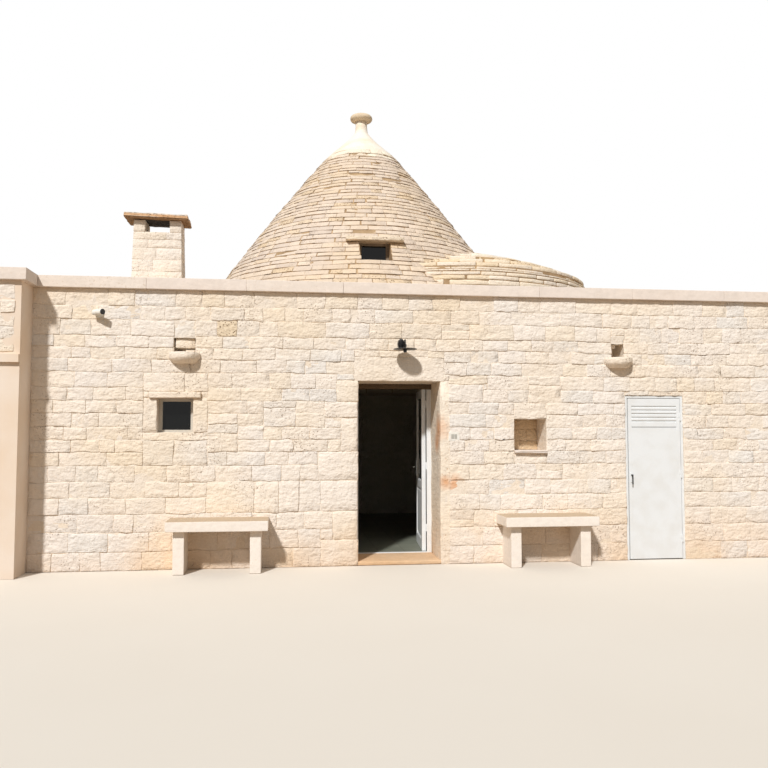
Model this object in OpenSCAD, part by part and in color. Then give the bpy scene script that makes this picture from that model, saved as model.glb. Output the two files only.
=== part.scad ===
// Trullo house in limestone: thick masonry walls, a flat roof behind a parapet with a coping,
// a tall corbelled main cone, a low stepped side dome, a chimney and two stone benches.
// Millimetres, +Z up. The origin is on the ground under the main cone's tip.
// +X runs to the right along the front wall and -Y is the front.

/* [House] */
// From the drum of the main cone to the outer face of the front wall and of the back wall
face_y = 555; // [500:1:900]
// From the main cone's axis to the outer face of the right end wall
right_x = 5300; // [5000:1:6500]
// From the main cone's axis to the corner where the left wing begins
wing_x = 3945; // [3700:1:4600]
// Length of the left wing, from its corner to the face of its party wall
wing_w = 1205; // [900:1:2500]
// How far the left wing stands in front of the front wall
wing_step = 400; // [150:1:900]
// Thickness of the walls
wall_t = 660; // [560:1:760]
// Thickness of the parapet above the roof
parapet_t = 370; // [250:1:420]
// Height of the walls, up to the underside of the coping
wall_h = 3130; // [2950:1:3400]
// Height of the flat roof's upper face above the top of the front doorway
roof_z = 300; // [250:1:350]
// Thickness of the flat roof
roof_t = 220; // [150:1:230]
// Thickness of the floor slab
floor_t = 45; // [30:1:80]

/* [Coping and ledge] */
// Thickness of the coping slabs
coping_t = 130; // [70:1:160]
// How far the coping stands out over the outer faces
coping_out = 60; // [20:1:90]
// How far the coping stands out on the roof side
coping_in = 30; // [5:1:60]
// Height of the middle of the wing's ledge above the top of the front doorway
ledge_z = 180; // [0:1:250]
// Height of the ledge's own face
ledge_h = 85; // [40:1:120]
// How far the ledge stands out
ledge_out = 45; // [20:1:80]

/* [Front door] */
// Middle of the doorway along the front wall
door_x = 155; // [0:1:300]
// Width of the doorway
door_w = 980; // [880:1:1060]
// Height of the doorway
door_h = 2120; // [2060:1:2150]
// Height of the stone lintel over the doorway
lintel_h = 275; // [200:1:300]
// Depth of the stone lintel
lintel_d = 300; // [200:1:340]
// How far the lintel bears on the wall at each end
lintel_bearing = 40; // [20:1:120]
// Face width of the door frame
frame_w = 50; // [35:1:60]
// Depth of the door frame
frame_d = 60; // [55:1:80]
// Thickness of the door leaf
leaf_t = 50; // [40:1:52]
// Width of the stiles and the top rail of the leaf
stile_w = 95; // [80:1:120]
// Height of the leaf's bottom rail
bottom_rail_h = 130; // [100:1:200]
// Height of the middle rail's centre
mid_rail_z = 860; // [750:1:950]
// Height of the middle rail's face
mid_rail_h = 95; // [70:1:120]
// How far the lower panel lies back from the leaf's faces
panel_recess = 12; // [4:1:18]
// Thickness of the leaf's glass
pane_t = 22; // [10:1:30]
// How far the leaf stands open as drawn, in degrees
door_open = 95; // [80:1:105]
// Height of the lever handle
lever_z = 1060; // [990:1:1150]

/* [Closet door] */
// Left side of the closet's doorway
closet_x = 2905; // [2870:1:3050]
// Width of the closet's doorway
closet_w = 740; // [640:1:820]
// Height of the closet's doorway
closet_h = 1968; // [1850:1:2050]
// Depth of the closet from the front face
closet_d = 500; // [350:1:520]
// Face width of the closet's steel frame
closet_frame_w = 32; // [25:1:50]
// Depth of the closet's steel frame
closet_frame_d = 50; // [45:1:70]
// How far the closet's frame lies back from the wall's face
closet_setback = 10; // [2:1:40]
// Thickness of the closet's leaf
closet_leaf_t = 40; // [25:1:42]
// Number of louvre slots in the closet's leaf
louvre_n = 5; // [3:1:6]
// Height of each louvre slot
louvre_h = 18; // [10:1:24]
// Distance from one louvre slot to the next
louvre_pitch = 44; // [36:1:50]
// Distance from the leaf's top to the middle of the first slot
louvre_drop = 90; // [70:1:120]
// Margin from the leaf's sides to the ends of the slots
louvre_margin = 45; // [30:1:80]
// Height of the middle of the closet's handle
closet_knob_z = 980; // [850:1:1100]

/* [Small windows] */
// Middle of the small window in the front wall and of its twin in the back wall
window_x = -2392; // [-2450:1:-2300]
// Height of the small window's sill
window_z = 1516; // [1400:1:1550]
// Width of the small window's opening
window_w = 397; // [350:1:450]
// Height of the small window's opening
window_h = 390; // [340:1:390]
// How far the small window's frame lies back from the wall's face
window_setback = 140; // [80:1:250]
// Length of the small window's lintel
window_lintel_w = 573; // [520:1:650]
// Height of the small window's lintel
window_lintel_h = 70; // [50:1:90]
// How deep the small window's lintel goes into the wall
window_lintel_d = 180; // [100:1:240]
// How far the small window's lintel stands out
window_lintel_out = 45; // [15:1:70]
// Face width of the window frames
sash_w = 34; // [25:1:45]
// Depth of the window frames
sash_d = 45; // [30:1:60]
// Thickness of the window glass
glass_t = 16; // [6:1:24]

/* [Window in the main cone] */
// Height of this window's sill above the top of the cone's drum
cone_window_z = 585; // [540:1:700]
// Width of this window's opening
cone_window_w = 410; // [350:1:460]
// Height of this window's opening
cone_window_h = 310; // [280:1:330]
// How far this window's frame lies in from the drum's outer face
cone_window_y = 740; // [700:1:790]
// Length of this window's lintel
cone_lintel_w = 770; // [600:1:820]
// Height of this window's lintel
cone_lintel_h = 50; // [40:1:90]
// Depth of this window's lintel
cone_lintel_d = 420; // [360:1:450]
// How far the front of this window's lintel lies in from the drum's outer face
cone_lintel_y = 530; // [500:1:580]

/* [Niche] */
// Left side of the niche
niche_x = 1527; // [1450:1:1600]
// Height of the niche's floor
niche_z = 1310; // [1250:1:1350]
// Width of the niche
niche_w = 393; // [300:1:450]
// Height of the niche
niche_h = 370; // [300:1:420]
// Depth of the niche
niche_d = 350; // [250:1:420]
// Thickness of the niche's sill slab
niche_sill_t = 40; // [25:1:60]
// How far the niche's sill slab stands out
niche_sill_out = 50; // [20:1:80]

/* [Rain spouts] */
// Middle of the left spout
spout_left_x = -2296; // [-2360:1:-2200]
// Middle of the right spout
spout_right_x = 2824; // [2780:1:2826]
// Width of the left hole through the parapet
spout_left_w = 240; // [180:1:260]
// Width of the right hole through the parapet
spout_right_w = 160; // [120:1:170]
// Height of the holes through the parapet
spout_hole_h = 170; // [120:1:200]
// Radius of the half-round spout stone at its top
spout_r = 175; // [150:1:200]
// Radius of the half-round spout stone at its foot
spout_foot_r = 105; // [80:1:130]
// Height of the spout stone
spout_h = 125; // [90:1:150]
// Depth of the hollow in the spout stone
spout_dish = 45; // [20:1:60]
// Width of the rim around that hollow
spout_rim = 45; // [30:1:60]
// How far the spout stone goes into the wall
spout_tail = 200; // [100:1:300]

/* [Benches] */
// Middle of the left bench
bench_left_x = -1880; // [-1950:1:-1800]
// Middle of the right bench
bench_right_x = 1840; // [1800:1:1950]
// Length of a bench's slab
bench_w = 1085; // [1000:1:1150]
// Depth of a bench's slab
bench_d = 450; // [400:1:520]
// Thickness of a bench's slab
bench_t = 110; // [70:1:130]
// Height of a bench's top
bench_h = 572; // [420:1:600]
// Thickness of a bench's legs
bench_leg_t = 120; // [90:1:160]
// Depth of a bench's legs
bench_leg_d = 370; // [250:1:400]
// Distance between the middles of a bench's legs
bench_leg_gap = 815; // [600:1:830]

/* [Main cone] */
// Outer radius of the drum
drum_r = 2500; // [2450:1:2600]
// Height of the drum's top above the roof
drum_z = 730; // [600:1:850]
// Thickness of the drum's wall
drum_t = 550; // [450:1:650]
// Height of the smooth cap's lower edge above the drum
cap_z = 2630; // [2450:1:2800]
// Radius of the cone where the smooth cap begins
cap_r = 530; // [450:1:600]
// How far the smooth cap stands out over the stones below it
cap_out = 14; // [5:1:30]
// How far the cone's side bulges out at half height
cone_bulge = 55; // [0:1:100]
// Height of the hollow's tip above the drum
hollow_z = 2250; // [2000:1:2350]
// From the drum's inner face to the corners of the square opening in the roof
roof_hole = 41; // [20:1:200]

/* [Pinnacle] */
// Height of the neck's lower end above the smooth cap's lower edge
neck_z = 430; // [350:1:520]
// Radius of the neck
neck_r = 105; // [80:1:130]
// Height of the disc's underside above the neck's lower end
disc_z = 186; // [80:1:260]
// Radius of the disc
disc_r = 175; // [150:1:220]
// Thickness of the disc
disc_t = 75; // [60:1:140]
// Height of the disc's domed top
disc_dome = 50; // [30:1:90]

/* [Side dome] */
// How far the side dome's axis lies inside the outer face of the main cone's drum
dome_x = 1200; // [1100:1:1300]
// Outer radius of the side dome
dome_r = 2190; // [2050:1:2250]
// Height of the side dome's springing above the roof
dome_z = 1200; // [1100:1:1300]
// Rise of the side dome above its springing
dome_rise = 660; // [560:1:760]
// Thickness of the side dome's wall
dome_t = 350; // [250:1:400]
// Thickness of the side dome's roof, measured straight up
dome_roof_t = 300; // [200:1:350]
// Height of one step of the side dome
dome_step = 90; // [60:1:120]
// From the main cone's drum to the opening in the roof under the side dome
dome_hole_x = 70; // [30:1:120]
// Length of that opening
dome_hole_l = 480; // [400:1:500]
// Width of that opening
dome_hole_w = 1000; // [700:1:1100]

/* [Chimney] */
// Middle of the chimney along the front
chimney_x = -2680; // [-2800:1:-2650]
// Height of the chimney above the roof
chimney_z = 1610; // [1500:1:1750]
// Width of the chimney at the roof
chimney_w = 611; // [560:1:660]
// Width of the chimney at its top
chimney_top_w = 531; // [500:1:556]
// Depth of the chimney
chimney_d = 320; // [300:1:420]
// Depth of the flue
flue_d = 140; // [110:1:180]
// Width of the flue and of the smoke opening
smoke_w = 318; // [250:1:340]
// Height of the smoke opening under the cap
smoke_h = 140; // [100:1:200]
// Length of the chimney's cap slab
chimney_cap_w = 730; // [660:1:800]
// Thickness of the chimney's cap slab
chimney_cap_t = 55; // [40:1:80]
// Front overhang of the chimney's cap slab
chimney_cap_front = 90; // [40:1:140]
// Back overhang of the chimney's cap slab
chimney_cap_back = 30; // [10:1:100]

/* [Lamp over the door] */
// Middle of the lamp along the front wall
lamp_x = 197; // [100:1:300]
// Height of the lamp's disc above the door's lintel
lamp_z = 80; // [50:1:120]
// Radius of the lamp's disc
lamp_disc_r = 137; // [100:1:150]
// Thickness of the lamp's disc
lamp_disc_t = 6; // [3:1:10]
// Distance from the wall to the middle of the lamp's disc
lamp_reach = 175; // [160:1:220]
// Radius of the lamp's round body
lamp_body_r = 50; // [35:1:60]
// Height of the lamp's round body
lamp_body_h = 118; // [90:1:140]

/* [Wall camera and switch] */
// Place of the wall camera along the front wall
camera_x = -3235; // [-3300:1:-3100]
// Distance from the coping's underside down to the wall camera
camera_z = 280; // [200:1:400]
// Radius of the wall camera's body
camera_r = 30; // [22:1:38]
// Length of the wall camera's body
camera_l = 150; // [110:1:180]
// Middle of the switch plate along the front wall
switch_x = 801; // [760:1:860]
// Height of the switch plate's middle
switch_z = 1473; // [1350:1:1600]
// Width of the switch plate
switch_w = 130; // [90:1:150]
// Height of the switch plate
switch_h = 106; // [80:1:120]
// Thickness of the switch plate
switch_t = 16; // [8:1:25]

/* [Hidden] */

// Colours of the materials
limestone = [0.86, 0.79, 0.68];
pale_stone = [0.90, 0.86, 0.79];
plaster = [0.91, 0.83, 0.74];
red_stone = [0.74, 0.55, 0.40];
white_paint = [0.93, 0.93, 0.92];
black_paint = [0.07, 0.07, 0.08];
glass_blue = [0.30, 0.36, 0.40, 0.5];
tile_grey = [0.52, 0.53, 0.47];
steel = [0.62, 0.62, 0.63];

// Planes that several pieces share, as distances from the main cone's axis
wall_y = drum_r + face_y;
inner_y = wall_y - wall_t;
roof_y = wall_y - parapet_t;
wing_y = wall_y + wing_step;
left_x = wing_x + wing_w;
door_left = door_x - door_w / 2;
door_right = door_x + door_w / 2;
closet_right = closet_x + closet_w;

// Levels above the ground
roof_level = door_h + roof_z;
ceiling_level = roof_level - roof_t;
coping_level = wall_h + coping_t;
drum_level = roof_level + drum_z;
hollow_level = drum_level + hollow_z;
cap_level = drum_level + cap_z;
neck_level = cap_level + neck_z;
disc_level = neck_level + disc_z;

// Clearances: at a hinge edge, at a free edge, and between the halves of a hinge
hinge_gap = 5;
free_gap = 10;
knuckle_gap = 0.3;
// Radius of a hinge's knuckles, height of each half, and thickness and width of its wings
knuckle_r = 8;
knuckle_h = 45;
hinge_wing = 3;
hinge_wing_w = 30;
// How far a cut runs past the face that it opens
through = 20;

// A box from its limits along X, Y and Z
module block(x, y, z) {
    translate([x[0], y[0], z[0]])
        cube([x[1] - x[0], y[1] - y[0], z[1] - z[0]]);
}

// A stretch of the front wall: full thickness up to the ceiling, parapet above
module front_stretch(x, bottom) {
    block(x, [-wall_y, -inner_y], [bottom, ceiling_level]);
    block(x, [-wall_y, -roof_y], [bottom, wall_h]);
}

// Holes and notches in the front wall

module window_hole(side) {
    y = side * wall_y;
    reach = [min(y, side * inner_y) - through, max(y, side * inner_y) + through];
    block([window_x - window_w / 2, window_x + window_w / 2], reach, [window_z, window_z + window_h]);
}

// side is -1 at the front and 1 at the back
module window_lintel(side, out) {
    y0 = side * (wall_y + out);
    y1 = side * (wall_y - window_lintel_d);
    block([window_x - window_lintel_w / 2, window_x + window_lintel_w / 2],
        [min(y0, y1), max(y0, y1)],
        [window_z + window_h, window_z + window_h + window_lintel_h]);
}

module spout_hole(x, w) {
    block([x - w / 2, x + w / 2], [-wall_y - through, -roof_y + through],
        [roof_level, roof_level + spout_hole_h]);
}

module spout_tail_block(x, w) {
    block([x - w / 2, x + w / 2], [-wall_y, -wall_y + spout_tail], [roof_level - spout_h, roof_level]);
}

module door_lintel_block() {
    block([door_left - lintel_bearing, door_right + lintel_bearing],
        [-wall_y, -wall_y + lintel_d], [door_h, door_h + lintel_h]);
}

module niche_sill_block(out) {
    block([niche_x, niche_x + niche_w], [-wall_y - out, -wall_y + niche_d],
        [niche_z - niche_sill_t, niche_z]);
}

// Floor and threshold

module floor() {
    color(tile_grey) {
        block([-left_x + wall_t, right_x - wall_t], [-inner_y, inner_y], [0, floor_t]);
        block([closet_x, closet_right],
            [-wall_y + closet_setback + closet_frame_d, -wall_y + closet_d], [0, floor_t]);
    }
}

module threshold() {
    color(limestone)
        block([door_left, door_right], [-wall_y, -inner_y], [0, floor_t]);
}

// Walls

module front_wall_left() {
    color(limestone) difference() {
        front_stretch([-wing_x, door_left], 0);
        window_hole(-1);
        window_lintel(-1, 0);
        spout_hole(spout_left_x, spout_left_w);
        spout_tail_block(spout_left_x, spout_left_w);
        door_lintel_block();
    }
}

module front_wall_over_door() {
    color(limestone) difference() {
        front_stretch([door_left, door_right], door_h);
        door_lintel_block();
    }
}

module front_wall_middle() {
    color(limestone) difference() {
        front_stretch([door_right, closet_x], 0);
        block([niche_x, niche_x + niche_w], [-wall_y - through, -wall_y + niche_d],
            [niche_z, niche_z + niche_h]);
        niche_sill_block(0);
        spout_hole(spout_right_x, spout_right_w);
        spout_tail_block(spout_right_x, spout_right_w);
        door_lintel_block();
    }
}

// The wall over the closet's doorway and behind the closet
module closet_wall() {
    color(limestone) difference() {
        union() {
            front_stretch([closet_x, closet_right], closet_h);
            block([closet_x, closet_right], [-wall_y + closet_d, -inner_y], [0, closet_h]);
        }
        spout_hole(spout_right_x, spout_right_w);
        spout_tail_block(spout_right_x, spout_right_w);
    }
}

module front_wall_right() {
    color(limestone)
        front_stretch([closet_right, right_x], 0);
}

module right_wall() {
    color(limestone) {
        block([right_x - wall_t, right_x], [-inner_y, inner_y], [0, ceiling_level]);
        block([right_x - parapet_t, right_x], [-roof_y, roof_y], [ceiling_level, wall_h]);
    }
}

module back_wall() {
    color(limestone) difference() {
        union() {
            block([-left_x, right_x], [inner_y, wall_y], [0, ceiling_level]);
            block([-left_x, right_x], [roof_y, wall_y], [ceiling_level, wall_h]);
        }
        window_hole(1);
        window_lintel(1, 0);
    }
}

module left_wall() {
    color(plaster) {
        block([-left_x, -left_x + wall_t], [-inner_y, inner_y], [0, ceiling_level]);
        block([-left_x, -left_x + parapet_t], [-roof_y, roof_y], [ceiling_level, wall_h]);
    }
}

ledge_level = door_h + ledge_z;

// The wing's front with the ledge that is built into it
module wing_front_wall() {
    color(plaster) {
        block([-left_x, -wing_x], [-wing_y, -inner_y], [0, ceiling_level]);
        block([-left_x, -wing_x], [-wing_y, -roof_y], [ceiling_level, wall_h]);
        block([-left_x, -wing_x], [-wing_y - ledge_out, -wing_y],
            [ledge_level - ledge_h / 2, ledge_level + ledge_h / 2]);
    }
}

// Flat roof: two end slabs and the two strips beside the square opening under the cone

// Half width of the square opening under the cone, and left edge of the one under the side dome
hole_half = (drum_r - drum_t - roof_hole) / sqrt(2);
dome_hole_left = drum_r + dome_hole_x;

module roof_ends() {
    color(pale_stone) {
        block([-left_x + parapet_t, -hole_half], [-roof_y, roof_y], [ceiling_level, roof_level]);
        difference() {
            block([hole_half, right_x - parapet_t], [-roof_y, roof_y], [ceiling_level, roof_level]);
            block([dome_hole_left, dome_hole_left + dome_hole_l], [-dome_hole_w / 2, dome_hole_w / 2],
                [ceiling_level - through, roof_level + through]);
        }
    }
}

module roof_strips() {
    color(pale_stone) for (side = [-1, 1])
        block([-hole_half, hole_half],
            [min(side * roof_y, side * hole_half), max(side * roof_y, side * hole_half)],
            [ceiling_level, roof_level]);
}

// Coping slabs

module coping_front() {
    color(pale_stone)
        block([-wing_x + coping_out, right_x + coping_out],
            [-wall_y - coping_out, -roof_y + coping_in], [wall_h, coping_level]);
}

module coping_wing() {
    color(pale_stone)
        block([-left_x, -wing_x + coping_out],
            [-wing_y - coping_out, -roof_y + coping_in], [wall_h, coping_level]);
}

module coping_back() {
    color(pale_stone)
        block([-left_x, right_x + coping_out],
            [roof_y - coping_in, wall_y + coping_out], [wall_h, coping_level]);
}

// The coping on the left and on the right end wall
module coping_sides() {
    color(pale_stone) {
        block([-left_x, -left_x + parapet_t + coping_in],
            [-roof_y + coping_in, roof_y - coping_in], [wall_h, coping_level]);
        block([right_x - parapet_t - coping_in, right_x + coping_out],
            [-roof_y + coping_in, roof_y - coping_in], [wall_h, coping_level]);
    }
}

// Front door. The leaf is drawn closed and then turned about the hinge axis.

door_hinge_x = door_right - frame_w - hinge_gap / 2;
door_hinge_y = -inner_y + knuckle_r;
leaf_right = door_right - frame_w - hinge_gap;
leaf_left = door_left + frame_w + free_gap;
leaf_bottom = floor_t + free_gap;
leaf_top = door_h - frame_w - hinge_gap;
door_hinge_z = [for (t = [0.12, 0.5, 0.88]) leaf_bottom + t * (leaf_top - leaf_bottom)];

// A hinge's lower or upper half: its knuckle and the wing that is screwed on at the given side
module hinge_half(x, y, z, side, back) {
    translate([x, y, z])
        cylinder(r = knuckle_r, h = knuckle_h, $fn = 32);
    block([min(x, x + side * hinge_wing_w), max(x, x + side * hinge_wing_w)],
        [min(y + back * (knuckle_r - hinge_wing), y + back * knuckle_r),
            max(y + back * (knuckle_r - hinge_wing), y + back * knuckle_r)],
        [z, z + knuckle_h]);
}

module door_lintel() {
    color(limestone)
        door_lintel_block();
}

module door_frame() {
    color(white_paint) {
        block([door_left, door_left + frame_w], [-inner_y - frame_d, -inner_y], [floor_t, door_h]);
        block([door_right - frame_w, door_right], [-inner_y - frame_d, -inner_y], [floor_t, door_h]);
        block([door_left, door_right], [-inner_y - frame_d, -inner_y], [door_h - frame_w, door_h]);
        for (z = door_hinge_z)
            hinge_half(door_hinge_x, door_hinge_y, z, 1, -1);
    }
}

// Turns what the leaf carries from closed to open as drawn
module door_opened() {
    translate([door_hinge_x, door_hinge_y, 0])
        rotate([0, 0, -door_open])
            translate([-door_hinge_x, -door_hinge_y, 0])
                children();
}

pane_left = leaf_left + stile_w;
pane_right = leaf_right - stile_w;
pane_bottom = mid_rail_z + mid_rail_h / 2;
pane_top = leaf_top - stile_w;

module door_leaf() {
    color(white_paint) door_opened() {
        difference() {
            block([leaf_left, leaf_right], [-inner_y - leaf_t, -inner_y], [leaf_bottom, leaf_top]);
            block([pane_left, pane_right], [-inner_y - leaf_t - through, -inner_y + through],
                [pane_bottom, pane_top]);
            for (y = [-inner_y - leaf_t, -inner_y])
                block([pane_left, pane_right], [y - panel_recess, y + panel_recess],
                    [leaf_bottom + bottom_rail_h, mid_rail_z - mid_rail_h / 2]);
        }
        for (z = door_hinge_z)
            hinge_half(door_hinge_x, door_hinge_y, z + knuckle_h + knuckle_gap, -1, -1);
    }
}

module door_glass() {
    middle = -inner_y - leaf_t / 2;
    color(glass_blue) door_opened()
        block([pane_left, pane_right], [middle - pane_t / 2, middle + pane_t / 2],
            [pane_bottom, pane_top]);
}

// Lever handle with a plate on each face of the leaf
lever_plate_w = 34;
lever_plate_h = 210;
lever_plate_t = 8;
lever_neck = 45;
lever_l = 120;
lever_r = 9;

module door_handle() {
    x = leaf_left + stile_w / 2;
    color(steel) door_opened()
        for (face = [[-inner_y - leaf_t, -1], [-inner_y, 1]]) {
            plate_y = face[0] + face[1] * lever_plate_t;
            neck_y = face[0] + face[1] * lever_neck;
            block([x - lever_plate_w / 2, x + lever_plate_w / 2],
                [min(face[0], plate_y), max(face[0], plate_y)],
                [lever_z - lever_plate_h / 2, lever_z + lever_plate_h / 2]);
            translate([x, min(plate_y, neck_y), lever_z])
                rotate([-90, 0, 0])
                    cylinder(r = lever_r, h = abs(neck_y - plate_y), $fn = 24);
            translate([x - lever_r, neck_y, lever_z])
                rotate([0, 90, 0])
                    cylinder(r = lever_r, h = lever_l, $fn = 24);
        }
}

// Closet door, drawn closed

closet_front_y = -wall_y + closet_setback;
closet_hinge_x = closet_right - closet_frame_w - hinge_gap / 2;
closet_hinge_y = closet_front_y - knuckle_r;
closet_leaf_left = closet_x + closet_frame_w + free_gap;
closet_leaf_right = closet_right - closet_frame_w - hinge_gap;
closet_leaf_bottom = free_gap;
closet_leaf_top = closet_h - closet_frame_w - hinge_gap;
closet_hinge_z = [for (t = [0.1, 0.5, 0.86])
    closet_leaf_bottom + t * (closet_leaf_top - closet_leaf_bottom)];

module closet_frame() {
    depth = [closet_front_y, closet_front_y + closet_frame_d];
    color(white_paint) {
        block([closet_x, closet_x + closet_frame_w], depth, [0, closet_h]);
        block([closet_right - closet_frame_w, closet_right], depth, [0, closet_h]);
        block([closet_x, closet_right], depth, [closet_h - closet_frame_w, closet_h]);
        for (z = closet_hinge_z)
            hinge_half(closet_hinge_x, closet_hinge_y, z, 1, 1);
    }
}

module closet_leaf() {
    color(white_paint) {
        difference() {
            block([closet_leaf_left, closet_leaf_right],
                [closet_front_y, closet_front_y + closet_leaf_t],
                [closet_leaf_bottom, closet_leaf_top]);
            for (i = [0 : louvre_n - 1]) {
                z = closet_leaf_top - louvre_drop - i * louvre_pitch;
                block([closet_leaf_left + louvre_margin, closet_leaf_right - louvre_margin],
                    [closet_front_y - through, closet_front_y + closet_leaf_t + through],
                    [z - louvre_h / 2, z + louvre_h / 2]);
            }
        }
        for (z = closet_hinge_z)
            hinge_half(closet_hinge_x, closet_hinge_y, z + knuckle_h + knuckle_gap, -1, 1);
    }
}

// Plate with a small lever that hangs down, near the leaf's free edge
closet_knob_in = 30;
closet_plate_w = 26;
closet_plate_h = 120;
closet_plate_t = 6;
closet_knob_r = 8;
closet_knob_out = 38;
closet_lever_rise = 30;
closet_lever_l = 120;

module closet_handle() {
    x = closet_leaf_left + closet_knob_in;
    color(black_paint) {
        block([x - closet_plate_w / 2, x + closet_plate_w / 2],
            [closet_front_y - closet_plate_t, closet_front_y],
            [closet_knob_z - closet_plate_h / 2, closet_knob_z + closet_plate_h / 2]);
        translate([x, closet_front_y - closet_knob_out, closet_knob_z + closet_lever_rise]) {
            rotate([-90, 0, 0])
                cylinder(r = closet_knob_r, h = closet_knob_out - closet_plate_t, $fn = 24);
            translate([0, 0, closet_knob_r - closet_lever_l])
                cylinder(r = closet_knob_r, h = closet_lever_l, $fn = 24);
        }
    }
}

// Windows: the same small one at the front and at the back, and one in the main cone

cone_window_level = drum_level + cone_window_z;
cone_frame_y = drum_r - cone_window_y;
cone_lintel_front = drum_r - cone_lintel_y;

module window_lintels() {
    color(limestone) {
        window_lintel(-1, window_lintel_out);
        window_lintel(1, window_lintel_out);
        cone_lintel_block();
    }
}

module cone_lintel_block() {
    block([-cone_lintel_w / 2, cone_lintel_w / 2],
        [-cone_lintel_front, -cone_lintel_front + cone_lintel_d],
        [cone_window_level + cone_window_h, cone_window_level + cone_window_h + cone_lintel_h]);
}

// A frame around a pane, its outer size given by the hole's limits
module sash(x, y, z) {
    difference() {
        block(x, y, z);
        block([x[0] + sash_w, x[1] - sash_w], [y[0] - through, y[1] + through],
            [z[0] + sash_w, z[1] - sash_w]);
    }
}

module pane(x, y, z) {
    middle = (y[0] + y[1]) / 2;
    block([x[0] + sash_w, x[1] - sash_w], [middle - glass_t / 2, middle + glass_t / 2],
        [z[0] + sash_w, z[1] - sash_w]);
}

window_span_x = [window_x - window_w / 2, window_x + window_w / 2];
window_span_z = [window_z, window_z + window_h];
front_sash_y = [-wall_y + window_setback, -wall_y + window_setback + sash_d];
back_sash_y = [wall_y - window_setback - sash_d, wall_y - window_setback];
cone_span_x = [-cone_window_w / 2, cone_window_w / 2];
cone_span_z = [cone_window_level, cone_window_level + cone_window_h];
cone_sash_y = [-cone_frame_y, -cone_frame_y + sash_d];

module window_frames() {
    color(white_paint) {
        sash(window_span_x, front_sash_y, window_span_z);
        sash(window_span_x, back_sash_y, window_span_z);
        sash(cone_span_x, cone_sash_y, cone_span_z);
    }
}

module window_glass() {
    color(glass_blue) {
        pane(window_span_x, front_sash_y, window_span_z);
        pane(window_span_x, back_sash_y, window_span_z);
        pane(cone_span_x, cone_sash_y, cone_span_z);
    }
}

module niche_sill() {
    color(limestone)
        niche_sill_block(niche_sill_out);
}

// Half-round rain spout stones with a hollow on top, built into the wall below the holes

module spout_stone(x, w) {
    difference() {
        union() {
            intersection() {
                translate([x, -wall_y, roof_level - spout_h])
                    cylinder(r1 = spout_foot_r, r2 = spout_r, h = spout_h, $fn = 64);
                block([x - spout_r, x + spout_r], [-wall_y - spout_r, -wall_y],
                    [roof_level - spout_h, roof_level]);
            }
            spout_tail_block(x, w);
        }
        translate([x, -wall_y, roof_level - spout_dish])
            cylinder(r1 = spout_foot_r - spout_rim, r2 = spout_r - spout_rim,
                h = spout_dish, $fn = 48);
    }
}

module spouts() {
    color(limestone) {
        spout_stone(spout_left_x, spout_left_w);
        spout_stone(spout_right_x, spout_right_w);
    }
}

// Benches

module bench_slabs() {
    color(pale_stone) for (x = [bench_left_x, bench_right_x])
        block([x - bench_w / 2, x + bench_w / 2], [-wall_y - bench_d, -wall_y],
            [bench_h - bench_t, bench_h]);
}

module bench_legs() {
    color(pale_stone) for (x = [bench_left_x, bench_right_x], side = [-1, 1]) {
        middle = x + side * bench_leg_gap / 2;
        block([middle - bench_leg_t / 2, middle + bench_leg_t / 2],
            [-wall_y - bench_leg_d, -wall_y], [0, bench_h - bench_t]);
    }
}

// Main cone: a drum and a slightly bulging cone of corbelled slabs around a conical hollow,
// built up in four quarters

cone_rings = 12;
function cone_radius(t) = drum_r + (cap_r - drum_r) * t + 4 * cone_bulge * t * (1 - t);
cone_side = [for (i = [0 : cone_rings])
    [cone_radius(i / cone_rings), drum_level + (cap_level - drum_level) * i / cone_rings]];

// The space that the drum and the cone take, grown by a gap
module cone_space(gap) {
    rotate_extrude($fn = 96)
        polygon(concat([[0, roof_level - gap], [drum_r + gap, roof_level - gap]],
            [for (p = cone_side) [p[0] + gap, p[1]]], [[0, cap_level]]));
}

module cone_shell() {
    rotate_extrude($fn = 96)
        polygon(concat([[drum_r - drum_t, roof_level], [drum_r, roof_level]], cone_side,
            [[0, cap_level], [0, hollow_level], [drum_r - drum_t, drum_level]]));
}

// A quarter of the cone's wall. Turn 0 faces the front and 90 the right end.
module cone_quarter(turn) {
    reach = 2 * drum_r;
    intersection() {
        cone_shell();
        translate([0, 0, roof_level])
            rotate([0, 0, turn])
                linear_extrude(cap_level - roof_level)
                    polygon([[0, 0], [-reach, -reach], [reach, -reach]]);
    }
}

module cone_front() {
    color(limestone) difference() {
        cone_quarter(0);
        block(cone_span_x, [-drum_r, 0], cone_span_z);
        cone_lintel_block();
    }
}

module cone_right() {
    color(limestone)
        cone_quarter(90);
}

module cone_back() {
    color(limestone)
        cone_quarter(180);
}

module cone_left() {
    color(limestone)
        cone_quarter(270);
}

cap_rings = 8;
cap_flare = 1.15;
function cap_radius(t) = neck_r + (cap_r + cap_out - neck_r) * pow(1 - t, cap_flare);

module cone_cap() {
    color(white_paint)
        rotate_extrude($fn = 96)
            polygon(concat([[0, cap_level]],
                [for (i = [0 : cap_rings])
                    [cap_radius(i / cap_rings), cap_level + (neck_level - cap_level) * i / cap_rings]],
                [[0, neck_level]]));
}

// Pinnacle: a short neck, and a thick disc with a domed top
disc_arc = 6;
neck_waist = 0.85;

module pinnacle() {
    color(pale_stone)
        rotate_extrude($fn = 64)
            polygon(concat([[0, neck_level], [neck_r, neck_level],
                    [neck_r * neck_waist, (neck_level + disc_level) / 2],
                    [neck_r, disc_level], [disc_r, disc_level]],
                [for (i = [0 : disc_arc])
                    [disc_r * cos(90 * i / disc_arc),
                        disc_level + disc_t + disc_dome * sin(90 * i / disc_arc)]]));
}

// Side dome: stepped slab courses on a drum, cut clear of the main cone, in a front and a back half

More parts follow.
